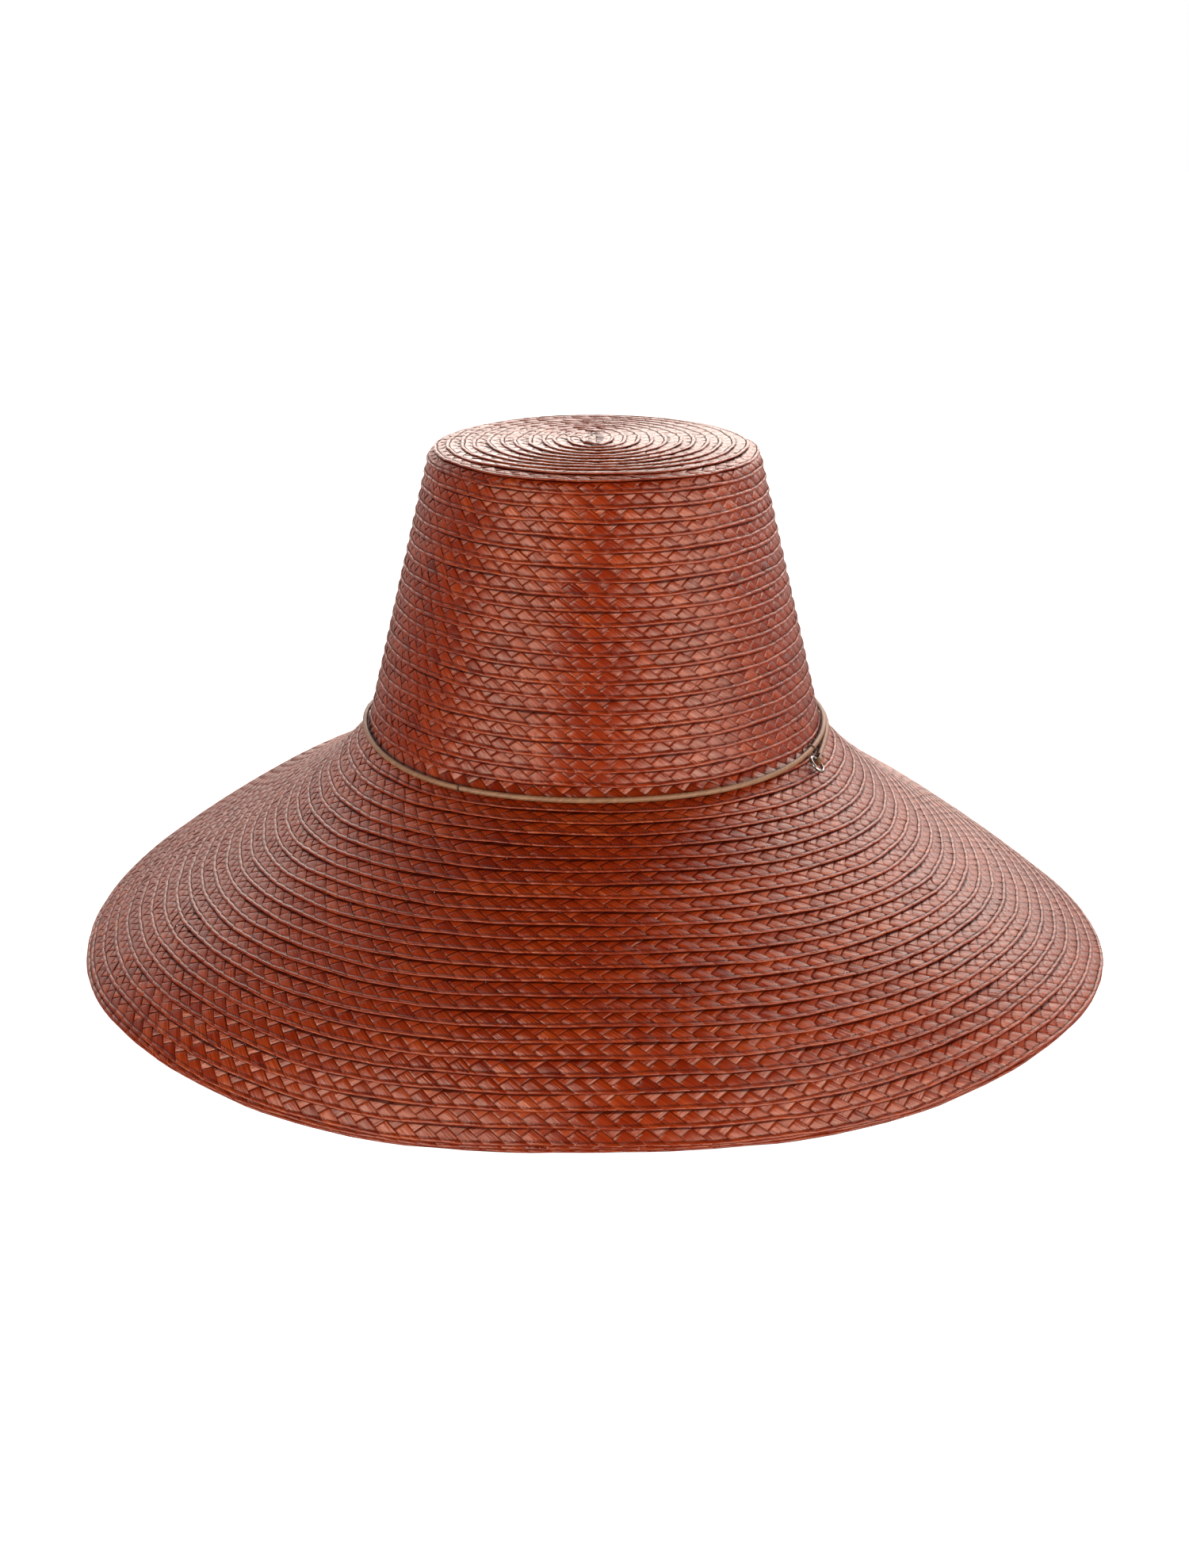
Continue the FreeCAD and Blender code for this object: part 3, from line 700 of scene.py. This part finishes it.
def bake_cells(piece, cells_per_strip, stations, strips):
    """Its own flat layout for baking: one cell of the square for each leg of a strip."""
    grid = math.ceil(math.sqrt(cells_per_strip * strips))
    leg_stations = ZIG_STATIONS // 2
    leg, inside = np.divmod(np.arange(stations - 1), leg_stations)
    room = 1 - 2 * CELL_MARGIN
    low_y = CELL_MARGIN + room * inside / leg_stations
    high_y = CELL_MARGIN + room * (inside + 1) / leg_stations
    uv = np.zeros((strips, stations - 1, len(ACROSS), 4, 2))
    for strip in range(strips):
        cell = leg + strip * cells_per_strip
        for side, (left, right) in enumerate(zip(CELL_CUTS[:-1], CELL_CUTS[1:])):
            corners = ((left, high_y), (right, high_y), (right, low_y), (left, low_y))
            for number, (x, y) in enumerate(corners):
                uv[strip, :, side, number, 0] = (cell % grid + x) / grid
                uv[strip, :, side, number, 1] = (cell // grid + y) / grid
    flat = uv.reshape(-1)
    caps = np.zeros(len(piece.data.loops) * 2 - len(flat))
    layer = piece.data.uv_layers.new(name="OFBake")
    layer.data.foreach_set("uv", np.concatenate([flat, caps]).astype(np.float32))


def plait(name, node, first, last, place_point=lay, row=CROWN_ROW):
    """A closed mesh of the three strips of the plait between two zigzags."""
    strips = [strip_points(strand, first, last, place_point, row) for strand in range(STRANDS)]
    points, fibres, tones, painted_shades, heights = (np.concatenate(layer) for layer in zip(*strips))
    stations = (last - first) * ZIG_STATIONS + 1
    sides = len(ACROSS)
    walls, caps = [], []
    for strand in range(STRANDS):
        start = strand * stations * sides
        end = start + (stations - 1) * sides
        walls.append(tube_faces(stations, sides, start))
        caps.append([[start + i for i in range(sides)], [end + i for i in reversed(range(sides))]])
    piece = new_mesh(name, points.reshape(-1, 3), np.concatenate(walls + caps))
    point_layer(piece.data, "fibre", fibres.reshape(-1, 3))
    point_layer(piece.data, "tone", tones.ravel())
    # The painted shade goes to the straw material as a point layer.
    point_layer(piece.data, "painted_shade", painted_shades.ravel())
    point_layer(piece.data, "height", heights.ravel())
    mark_strip_edges(piece.data, sides)
    bake_cells(piece, (last - first) * 2, stations, STRANDS)
    settle(piece, straw_material, node)


def zigzag_at(distance):
    """Number of the zigzag where the spiral's lower edge reaches a distance."""
    return int(round(run_at(distance) / PERIOD))


# Rows after which the CAD's braid lengths meet.
CROWN_CUT = 10
BRIM_CUTS = (8, 17, 21)


def make_straw_pieces():
    """The braid, cut where the CAD's braid lengths meet."""
    distances = [TIP_LENGTH, TIP_LENGTH + CROWN_CUT * CROWN_ROW, BRIM_START]
    distances += [BRIM_START + rows * BRIM_ROW for rows in BRIM_CUTS]
    cuts = [0] + [zigzag_at(distance) for distance in distances] + [PERIODS]
    names = (("tip_plait", "tip_braid"), ("crown_upper_plait", "crown_upper_braid"),
             ("crown_lower_plait", "crown_lower_braid"), ("brim_inner_plait", "brim_inner_braid"),
             ("brim_middle_plait", "brim_middle_braid"), ("brim_outer_plait", "brim_outer_braid"),
             ("brim_edge_plait", "brim_outer_braid"))
    for (name, node), first, last in zip(names, cuts[:-1], cuts[1:]):
        row = BRIM_ROW if name.startswith("brim") else CROWN_ROW
        plait(name, node, first, last, row=row)


CORE_LENGTH = 2 * OVAL_EXTRA + 4 * MM
CORE_NARROWING = 0.8
CORE_DROP = 1.15 * MM


def lay_core(run, up, lift):
    """Braid coordinates to space for the first straight bit of braid, under the spiral's middle."""
    x = CORE_NARROWING * (up - BRAID_WIDTH / 2)
    y = (run / PERIOD - 0.5) * CORE_LENGTH
    return np.stack([x, y, skin_height[0].mean() - CORE_DROP + lift], -1)


# ---- the row turned back under the edge -----------------------------------------------------
UNDER_SHARE = 0.8            # the turned row is a little narrower
UNDER_DROP = 1.7 * MM        # its depth under the skin at the edge
UNDER_REACH = 0.7 * MM       # how far it shows past the edge
UNDER_WOBBLE, UNDER_WAVE = 0.2 * MM, 47 * MM


def edge_run():
    """Length along the brim's edge up to each whole degree."""
    angle = np.radians(np.arange(361.0))
    points = skin_at(np.full(361, SKIN_LENGTH), angle, np.zeros(361))
    return run_along(points), angle


edge_length, edge_angle = edge_run()
UNDER_PERIODS = int(edge_length[-1] / PERIOD)


def lay_under(run, up, lift):
    """Braid coordinates to space for the turned row; its lower edge lies at the brim's edge."""
    stretched = run * edge_length[-1] / (UNDER_PERIODS * PERIOD)
    angle = np.interp(stretched % edge_length[-1], edge_length, edge_angle) + SPIRAL_HEADING
    distance = SKIN_LENGTH + UNDER_REACH - up * UNDER_SHARE + wobble(run, UNDER_WOBBLE, UNDER_WAVE, 2.2)
    return skin_at(distance, angle, lift - UNDER_DROP - ROW_LIFT * up / CROWN_ROW)


# ---- loose ends -----------------------------------------------------------------------------
SPLINTERS = 170
SPLINTER_LIFT = 0.30 * MM


def splinter_points():
    """Three base points and the tip of one loose end, at a random place on the braid."""
    run = rng.uniform(60 * MM, spiral_run[-1] - 40 * MM)
    up = rng.uniform(0.6, 4.2) * MM
    length = rng.uniform(0.8, 2.4) * MM
    rise = rng.uniform(0.15, 0.75) * MM
    slide = rng.uniform(-0.7, 0.7) * length
    thick = rng.uniform(0.06, 0.13) * MM
    around = TURN * np.arange(3) / 3
    runs = np.append(run + thick * np.cos(around), run + length)
    ups = np.append(np.full(3, up), up + slide)
    lifts = SPLINTER_LIFT + np.append(thick * np.sin(around), rise)
    return lay(runs, ups, lifts)


def make_splinters():
    """Short pale ends of fibre that stand off the braid here and there."""
    points = np.concatenate([splinter_points() for _ in range(SPLINTERS)])
    corners = np.array([(0, 1, 3), (1, 2, 3), (2, 0, 3), (0, 2, 1)])
    faces = np.concatenate([corners + 4 * number for number in range(SPLINTERS)])
    piece = new_mesh("loose_fibre_ends", points, faces, False)
    settle(piece, splinter_material)


# ---- chain stitches -------------------------------------------------------------------------
# Each stitch goes from a thin place under the surface to a thick one over it, in millimetres.
STITCH_RADII = (0.05, 0.26)
STITCH_LIFTS = (-0.25, 0.12)
SEAM_SIDES = 3
SEAM_JITTER, SEAM_WOBBLE, SEAM_WAVE = 0.08 * MM, 0.15 * MM, 29 * MM
TIP_SEAM_START = 20 * MM
BRIM_SEAM_CUT = 15           # rows of the brim after which its seam is cut in two


def seam(name, node, first_run, last_run):
    """One long line of chain stitches along the braid."""
    parts = len(STITCH_RADII)
    station = np.arange(int((last_run - first_run) / STITCH) * parts)
    run = first_run + station * STITCH / parts
    radius = np.array(STITCH_RADII)[station % parts] * MM
    lift = np.array(STITCH_LIFTS)[station % parts] * MM
    up = SEAM_INSET + SEAM_JITTER * np.sin(station * 1.7) + wobble(run, SEAM_WOBBLE, SEAM_WAVE, 0.9)
    points = np.zeros((len(station), SEAM_SIDES, 3))
    for side in range(SEAM_SIDES):
        around = TURN * side / SEAM_SIDES + 0.5
        points[:, side] = lay(run, up + radius * math.cos(around), lift + radius * math.sin(around))
    piece = new_tube(name, points)
    settle(piece, seam_material, node)


def make_seams():
    """The seams of the whole spiral, cut where the CAD's seams meet."""
    crown_at = run_at(TIP_LENGTH)
    brim_at = run_at(BRIM_START)
    middle_at = run_at(BRIM_START + BRIM_SEAM_CUT * BRIM_ROW)
    seam("tip_seam", "tip_stitching", TIP_SEAM_START, crown_at)
    seam("crown_seam", "crown_stitching", crown_at, brim_at)
    seam("brim_seam_inner", "brim_stitching", brim_at, middle_at)
    seam("brim_seam_outer", "brim_stitching", middle_at, spiral_run[-1] - PERIOD)


# ---- the cord, its tacks, wrap and ring -----------------------------------------------------
CORD_RADIUS = 1.0 * MM
CORD_FRONT, CORD_SIDE = 5.4 * MM, 0.2 * MM      # distance below the crown's base at front and sides
STRAND_OUT = 2.2 * MM                           # the outer of two strands lies this much lower
LOOSE_END, INNER_END = 64.0, 600.0              # headings of the two ends, in degrees
MERGE_START, MERGE_END = 244.0, 268.0           # between these the cord moves to the inner strand
FLARE_SPAN = 16.0                               # degrees over which the loose end bends away
FLARE_OUT, FLARE_LIFT = 1.6 * MM, 0.7 * MM
CORD_STATIONS = 2200
CORD_SIDES = 18
CORD_TWIST = 7 * MM                             # length of one turn of the cord's strands
CORD_LOBES, CORD_GROOVE = 3, 0.09


def cord_middle(heading):
    """Middle of the cord; heading in degrees grows from the loose end to the inner end."""
    angle = np.radians(heading)
    share = np.clip((heading - MERGE_START) / (MERGE_END - MERGE_START), 0, 1)
    outer = 1 - share * share * (3 - 2 * share)
    loose = np.clip(1 - (heading - LOOSE_END) / FLARE_SPAN, 0, None) ** 2
    distance = BRIM_START + CORD_SIDE + (CORD_FRONT - CORD_SIDE) * (1 - np.sin(angle) ** 4)
    distance = distance + STRAND_OUT * outer + FLARE_OUT * loose
    return skin_at(distance, angle, CORD_RADIUS + FLARE_LIFT * loose)


def make_cord():
    """The twisted cord, with fibre coordinates that follow its twist."""
    middles = cord_middle(np.linspace(LOOSE_END, INNER_END, CORD_STATIONS))
    ahead = unit(np.gradient(middles, axis=0))
    side_way = unit(np.cross(ahead, [0, 0, 1]))
    top = np.cross(side_way, ahead)
    run = run_along(middles)
    points = np.zeros((CORD_STATIONS, CORD_SIDES, 3))
    fibre = np.zeros((CORD_STATIONS, CORD_SIDES, 3))
    for side in range(CORD_SIDES):
        around = TURN * side / CORD_SIDES
        phase = around - run * TURN / CORD_TWIST
        reach = CORD_RADIUS * (1 - CORD_GROOVE * (1 - np.abs(np.cos(phase * CORD_LOBES / 2))))
        direction = np.cos(around) * side_way + np.sin(around) * top
        points[:, side] = middles + direction * reach[:, None]
        fibre[:, side] = np.stack([np.cos(phase) * 2, run / MM, np.sin(phase) * 2], -1)
    cord = new_mesh("cord", points.reshape(-1, 3), tube_faces(CORD_STATIONS, CORD_SIDES))
    point_layer(cord.data, "fibre", fibre.reshape(-1, 3))
    close_ends(cord)
    settle(cord, cord_material, "cord_band")


TACK_HEADINGS = (329.0, 424.0, 180.0, 540.0)
TACK_TURNS = 3
TACK_STEPS = 24              # points on each turn
TACK_WIDTH = 0.55 * MM
TACK_RADIUS = 0.15 * MM
TACK_REACH = CORD_RADIUS + 0.13 * MM
THREAD_SIDES = 6


def make_tacks():
    """Dark thread tied over the cord at each tack."""
    around = np.linspace(0, TACK_TURNS * TURN, TACK_TURNS * TACK_STEPS)
    for number, heading in enumerate(TACK_HEADINGS):
        here = cord_middle(np.array([heading - 0.5, heading, heading + 0.5]))
        along = unit(here[2] - here[0])
        outward = unit(np.cross(along, [0, 0, 1]))
        top = np.cross(outward, along)
        offset = (around / TURN / TACK_TURNS - 0.5)[:, None] * along * TACK_WIDTH
        turn = np.cos(around)[:, None] * outward + np.sin(around)[:, None] * top
        tack = coil(f"cord_tack_{number + 1}", here[1] + offset + TACK_REACH * turn, TACK_RADIUS)
        settle(tack, tack_material, "cord_tacks")


def coil(name, path, radius):
    """A thread along any path, with its frame carried from point to point."""
    first = np.cross(unit(path[1] - path[0]), [0.3, 0.5, 0.8])
    around = TURN * np.arange(THREAD_SIDES)[:, None] / THREAD_SIDES
    rings = []
    for middle, ahead in zip(path, unit(np.gradient(path, axis=0))):
        first = unit(first - ahead * np.dot(first, ahead))
        second = np.cross(ahead, first)
        rings.append(middle + radius * (np.cos(around) * first + np.sin(around) * second))
    return new_tube(name, np.array(rings))


def end_frame():
    """The ring's pivot, and directions onward from the cord, across it and off the brim."""
    joint = frame["joints"][0]
    pivot = np.array(joint["pos_m"])
    across = -np.array(joint["axis"])
    onward = pivot - cord_middle(np.array([LOOSE_END]))[0]
    onward = unit(onward - across * np.dot(onward, across))
    return pivot, onward, across, np.cross(onward, across)


WRAP_BACK = -5.6 * MM        # the leather's end, counted onward from the ring's pivot
WRAP_FRONT = -1.0 * MM       # where the leather begins to bend round the ring
WRAP_BEND = 1.25 * MM        # radius of that bend
WRAP_BULGE = 0.12 * MM
WRAP_THICK, WRAP_HALF = 0.36 * MM, 1.15 * MM
WRAP_STEPS, BEND_STEPS = 10, 14
# Outline of the leather: places across in half-widths, levels in thicknesses.
WRAP_SECTION = ((-1, 0.15), (-0.9, 0.5), (0.9, 0.5), (1, 0.15),
                (1, -0.35), (0.9, -0.5), (-0.9, -0.5), (-1, -0.35))
BINDING_TURNS = 4
BINDING_PLACE, BINDING_PITCH = -3.4 * MM, 0.28 * MM
BINDING_STEPS = 96


def wrap_path():
    """Side view of the folded leather: onward and off the brim, out along the top and back below."""
    path = []
    for x in np.linspace(WRAP_BACK, WRAP_FRONT, WRAP_STEPS):
        path.append((x, WRAP_BEND + WRAP_BULGE * math.sin((x - WRAP_BACK) / MM)))
    for number in range(1, BEND_STEPS):
        around = math.pi * number / BEND_STEPS
        path.append((-0.3 * MM + 1.1 * WRAP_BEND * math.sin(around), WRAP_BEND * math.cos(around)))
    for x in np.linspace(WRAP_FRONT, WRAP_BACK, WRAP_STEPS):
        path.append((x, -WRAP_BEND))
    return np.array(path)


def make_wrap():
    """A leather strip folded round the ring and over the cord's end, bound with thread."""
    pivot, onward, across, off = end_frame()
    path = wrap_path()
    ahead = unit(np.gradient(path, axis=0))
    normal = np.stack([-ahead[:, 1], ahead[:, 0]], -1)
    points = np.zeros((len(path), len(WRAP_SECTION), 3))
    for side, (place, level) in enumerate(WRAP_SECTION):
        flat = path + normal * (level * WRAP_THICK)
        points[:, side] = pivot + flat[:, :1] * onward + flat[:, 1:] * off + place * WRAP_HALF * across
    settle(new_tube("cord_end_leather", points), leather_material, "cord_end_wrap")
    around = np.linspace(0, BINDING_TURNS * TURN, BINDING_STEPS)[:, None]
    forward = BINDING_PLACE + (around / TURN - BINDING_TURNS / 2) * BINDING_PITCH
    reach_off, reach_across = WRAP_BEND + 0.28 * MM, WRAP_HALF + 0.16 * MM
    binding = (pivot + forward * onward + np.sin(around) * reach_off * off
               + np.cos(around) * reach_across * across)
    thread = coil("cord_end_binding", binding, TACK_RADIUS)
    settle(thread, tack_material, "cord_end_wrap")


def finish_ring():
    """The CAD ring stays, in a worn nickel finish."""
    ring = frame["nodes"]["end_ring"]
    ring.data.materials.clear()
    ring.data.materials.append(metal_material)
    for face in ring.data.polygons:
        face.use_smooth = True


# ---- inside the crown -----------------------------------------------------------------------
band_lo, band_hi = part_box("sweatband")
LEAN = (ROOT_WIDTH - TIP_WIDTH) / (upper_hi.z - lower_lo.z)
RIB = 1.1 * MM
RIB_DEPTH = 0.14 * MM
BAND_REACH = band_hi.x + OVAL_EXTRA          # the band's half-length from front to back
BAND_MEAN = band_hi.x + OVAL_EXTRA / 2
BAND_COLUMNS = 2304
BAND_DEPTH = 0.8 * MM
BAND_ROWS = (0.08, 0.25, 0.45, 0.65, 0.82)   # heights of the ribbed rows, as shares of the band


def band_point(angle, height, depth):
    """Point on the sweatband's inner side, depth further in."""
    width = band_hi.x - (height - band_lo.z) * LEAN - depth
    return np.stack([width * np.sin(angle), -(width + OVAL_EXTRA) * np.cos(angle), height + 0 * angle], -1)


def make_sweatband():
    """A ribbed cotton band; its lower edge is rolled, its upper edge stands slightly off."""
    low, high = band_lo.z, band_hi.z
    angle = TURN * np.arange(BAND_COLUMNS) / BAND_COLUMNS
    ribs = round(TURN * BAND_MEAN / RIB)
    ribbed = BAND_DEPTH + RIB_DEPTH * np.abs(np.sin(angle * ribs / 2))
    leaning = 0.5 * MM * (1 + np.sin(3 * angle)) + 0.2 * MM * np.sin(11 * angle)
    top = high + 0.35 * MM * np.sin(5 * angle + 0.7)
    profile = [(low + 0.3 * MM, 0.05 * MM), (low - 0.2 * MM, 0.4 * MM), (low + 0.1 * MM, 1.1 * MM)]
    profile += [(low + share * (high - low), ribbed) for share in BAND_ROWS]
    profile += [(top - 0.6 * MM, ribbed + leaning), (top, 0.6 * MM + leaning),
                (top - 0.5 * MM, 0.2 * MM + leaning)]
    points = np.stack([band_point(angle, height, depth) for height, depth in profile], 1)
    points = np.concatenate([points, points[:1]])
    band = new_mesh("sweatband_cotton", points.reshape(-1, 3), tube_faces(len(points), len(profile)))
    weld(band)
    settle(band, band_material, "sweatband")


def strip_ring(angle, height, depth, thick):
    """Points round one cross-section of a strip on the band: up its face and down its back."""
    angle = np.full(len(height), angle)
    face = band_point(angle, height, depth)
    back = band_point(angle, height, depth - thick)
    return np.concatenate([face, back[::-1]])


RIBBON_ROWS, RIBBON_COLUMNS = 60, 24
RIBBON_DEPTH, RIBBON_THICK = 1.25 * MM, 0.35 * MM
RIBBON_RIB, RIBBON_CURL, RIBBON_LEAN = 0.08 * MM, 0.25 * MM, 0.5 * MM


def make_join_ribbon():
    """A ribbon over the band's join at the back, ribbed across, with its sides curled down."""
    ribbon_lo, ribbon_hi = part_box("sweatband_join_ribbon")
    half = ribbon_hi.x / BAND_REACH
    share = np.arange(RIBBON_ROWS + 1) / RIBBON_ROWS
    low, high = ribbon_lo.z + 0.2 * MM, ribbon_hi.z - 0.1 * MM
    height = low + share * (high - low)
    rib = RIBBON_RIB * np.abs(np.sin(np.arange(RIBBON_ROWS + 1) * math.pi / 2))
    depth = RIBBON_DEPTH + rib + RIBBON_LEAN * share ** 3
    sheet = []
    for column in range(RIBBON_COLUMNS + 1):
        place = 2 * column / RIBBON_COLUMNS - 1
        curled = depth - RIBBON_CURL * abs(place) ** 4
        sheet.append(strip_ring(math.pi + half * place, height, curled, RIBBON_THICK))
    ribbon = new_tube("join_ribbon", np.array(sheet))
    settle(ribbon, ribbon_material, "sweatband_join_ribbon")


BAND_THREAD = 0.17 * MM
STITCH_ARCH, STITCH_SINK = 0.22 * MM, 0.08 * MM
STITCH_STATIONS = 5
STITCH_SHARE = (0.08, 0.86)  # the part of each step that a stitch covers


def stitch_line(name, angles, heights, depth, pitch):
    """A row of short raised stitches along a path on the band; each dips in at both ends."""
    angles, heights = np.broadcast_arrays(angles, heights)
    middles = band_point(angles, heights, depth)
    run = run_along(middles)
    inwards = np.stack([-np.sin(angles), np.cos(angles), 0 * angles], -1)
    arch = STITCH_ARCH * np.sin(np.linspace(0, math.pi, STITCH_STATIONS))[:, None] - STITCH_SINK
    points, faces = [], []
    for number in range(int(run[-1] / pitch)):
        where = (number + np.linspace(*STITCH_SHARE, STITCH_STATIONS)) * pitch
        middle = np.stack([np.interp(where, run, middles[:, axis]) for axis in range(3)], -1)
        inward = np.stack([np.interp(where, run, inwards[:, axis]) for axis in range(3)], -1)
        middle = middle + inward * arch
        across = np.cross(unit(middle[-1] - middle[0]), inward[0])
        for station in range(STITCH_STATIONS):
            for side in range(THREAD_SIDES):
                around = TURN * side / THREAD_SIDES
                direction = math.cos(around) * across + math.sin(around) * inward[station]
                points.append(middle[station] + BAND_THREAD * direction)
        faces.append(tube_faces(STITCH_STATIONS, THREAD_SIDES, number * STITCH_STATIONS * THREAD_SIDES))
    piece = new_mesh(name, np.array(points), np.concatenate(faces))
    close_ends(piece)
    settle(piece, band_thread_material, "sweatband_stitching")


def make_band_stitches():
    """One row of stitches round the band, open where the join ribbon lies."""
    seam_lo, seam_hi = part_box("sweatband_stitching")
    gap = 8.6 * MM / BAND_REACH
    angles = math.pi + np.linspace(gap, TURN - gap, 720)
    stitch_line("sweatband_seam", angles, (seam_lo.z + seam_hi.z) / 2, 0.95 * MM, 3.2 * MM)


LABEL_HALF = 17.0 * MM
LABEL_COLUMNS, LABEL_ROWS = 48, 16
LABEL_DEPTH, LABEL_THICK = 1.05 * MM, 0.3 * MM
LABEL_FOLD = 0.35 * MM       # extra thickness of the folded ends
LABEL_PUFF, LABEL_ROLL = 0.5 * MM, 0.2 * MM


def make_label():
    """A blank folded satin label, sewn on at both ends."""
    label_lo, label_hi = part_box("size_label")
    middle = math.pi - math.asin((label_lo.x + label_hi.x) / 2 / BAND_MEAN)
    half_angle = LABEL_HALF / BAND_REACH
    low, high = label_lo.z + 0.1 * MM, label_hi.z - 0.1 * MM
    share = np.arange(LABEL_ROWS + 1) / LABEL_ROWS
    roll = LABEL_ROLL * (2 * share - 1) ** 4
    sheet = []
    for column in range(LABEL_COLUMNS + 1):
        place = 2 * column / LABEL_COLUMNS - 1
        height = low + share * (high - low) + 0.15 * MM * math.sin(3 * place)
        fold = LABEL_FOLD if abs(place) > 0.9 else 0
        puff = LABEL_PUFF * (1 - place ** 2) * (0.7 + 0.3 * np.sin(2.4 * share + place))
        depth = LABEL_DEPTH + fold + puff - roll
        sheet.append(strip_ring(middle + half_angle * place, height, depth, LABEL_THICK))
    settle(new_tube("blank_label", np.array(sheet)), label_material, "size_label")
    for number, place in enumerate((-0.95, 0.95)):
        heights = np.linspace(low + 0.8 * MM, high - 0.8 * MM, 20)
        stitch_line(f"label_stitches_{number + 1}", middle + half_angle * place, heights, 1.5 * MM, 2.3 * MM)


# ---- floor, light and camera ----------------------------------------------------------------

def camera_sees(tree, seen, otherwise):
    """One value for camera rays, another for light on the hat."""
    path = tree.nodes.new("ShaderNodeLightPath")
    return mix_color(tree, path.outputs["Is Camera Ray"], otherwise, seen)


FLOOR_SIZE = 6.0
FLOOR_DROP = 0.6 * MM


def make_floor():
    """A plain pale floor just under the brim; the camera sees it bright, the hat sees it dim."""
    size, height = FLOOR_SIZE, cad_box[0].z - FLOOR_DROP
    corners = ((-size, -size, height), (size, -size, height), (size, size, height), (-size, size, height))
    floor = new_mesh("studio_floor", corners, [(0, 1, 2, 3)], False)
    material, tree, surface = shader("floor_paint")
    paint = camera_sees(tree, (0.85, 0.85, 0.85), (0.25, 0.25, 0.25))
    tree.links.new(paint, surface.inputs["Base Color"])
    surface.inputs["Roughness"].default_value = 0.9
    glow = camera_sees(tree, (0.93, 0.93, 0.93), (0.02, 0.02, 0.02))
    tree.links.new(glow, surface.inputs["Emission Color"])
    surface.inputs["Emission Strength"].default_value = 1.0
    floor.data.materials.append(material)


# Brightness of the air, from the dark side behind the camera to the white wall behind the hat.
WORLD_STOPS = ((0.0, 0.02, 0.02, 0.02), (0.72, 0.03, 0.03, 0.03),
               (0.88, 0.9, 0.76, 0.70), (0.97, 2.3, 1.90, 1.75))


def make_world():
    """White studio wall behind the hat, dark room behind the camera."""
    world = bpy.data.worlds.new("studio")
    bpy.context.scene.world = world
    world.use_nodes = True
    tree = world.node_tree
    background = tree.nodes["Background"]
    place_in = tree.nodes.new("ShaderNodeTexCoord")
    split = tree.nodes.new("ShaderNodeSeparateXYZ")
    tree.links.new(place_in.outputs["Generated"], split.inputs["Vector"])
    level = ramp(tree, WORLD_STOPS)
    tree.links.new(weighted(tree, split.outputs["Y"], 0.5, 0.5), level.inputs["Fac"])
    air = camera_sees(tree, (1.0, 1.0, 1.0), level.outputs["Color"])
    tree.links.new(air, background.inputs["Color"])


# Soft boxes: name, heading in degrees, height, width and length in metres, power in watts, colour.
FRONT_COLOR, BACK_COLOR = (1.0, 0.93, 0.86), (1.0, 0.86, 0.79)
SOFT_BOXES = (("light_left", -48, 0.28, 1.45, 0.55, 27.0, FRONT_COLOR),
              ("light_right", 51, 0.28, 2.0, 0.55, 36.0, FRONT_COLOR),
              ("light_left_back", -120, 0.75, 1.2, 0.55, 2.5, BACK_COLOR),
              ("light_right_back", 120, 0.75, 1.2, 0.55, 4.0, BACK_COLOR),
              ("light_top_back", 160, 0.95, 2.0, 1.0, 31.0, BACK_COLOR))
LAMP_DISTANCE = 1.5
LAMP_TARGET = Vector((0, 0, 0.02))


def make_lights():
    """Large soft boxes beside the camera and behind the hat leave the camera's own side dark."""
    for name, heading, height, width, length, power, color in SOFT_BOXES:
        data = bpy.data.lights.new(name, "AREA")
        data.shape = "RECTANGLE"
        data.size, data.size_y = width, length
        data.energy = power
        data.color = color
        lamp = bpy.data.objects.new(name, data)
        bpy.context.scene.collection.objects.link(lamp)
        angle = math.radians(heading)
        place = Vector((LAMP_DISTANCE * math.sin(angle), -LAMP_DISTANCE * math.cos(angle), height))
        lamp.location = place
        lamp.rotation_euler = (LAMP_TARGET - place).to_track_quat("-Z", "Y").to_euler()


CAMERA_DISTANCE, CAMERA_HEIGHT = 824.5 * MM, 237.6 * MM
CAMERA_DOWN = 17.88          # degrees that the camera looks down
CAMERA_LENS = 51.80          # millimetres, on a sensor 36 mm wide


def make_camera():
    """In front of the hat and a little above it."""
    data = bpy.data.cameras.new("camera")
    data.sensor_width = 36.0
    data.sensor_fit = "AUTO"
    data.lens = CAMERA_LENS
    camera = bpy.data.objects.new("camera", data)
    bpy.context.scene.collection.objects.link(camera)
    camera.location = (0, -CAMERA_DISTANCE, CAMERA_HEIGHT)
    camera.rotation_euler = (math.radians(90 - CAMERA_DOWN), 0, 0)
    bpy.context.scene.camera = camera


make_straw_pieces()
plait("tip_core_plait", "tip_braid", 0, 1, lay_core)
plait("edge_turned_plait", "brim_edge_turnback", 0, UNDER_PERIODS, lay_under)
make_splinters()
make_seams()
make_cord()
make_tacks()
make_wrap()
finish_ring()
make_sweatband()
make_join_ribbon()
make_band_stitches()
make_label()
make_floor()
make_world()
make_lights()
make_camera()
bpy.context.scene.view_settings.view_transform = "Standard"
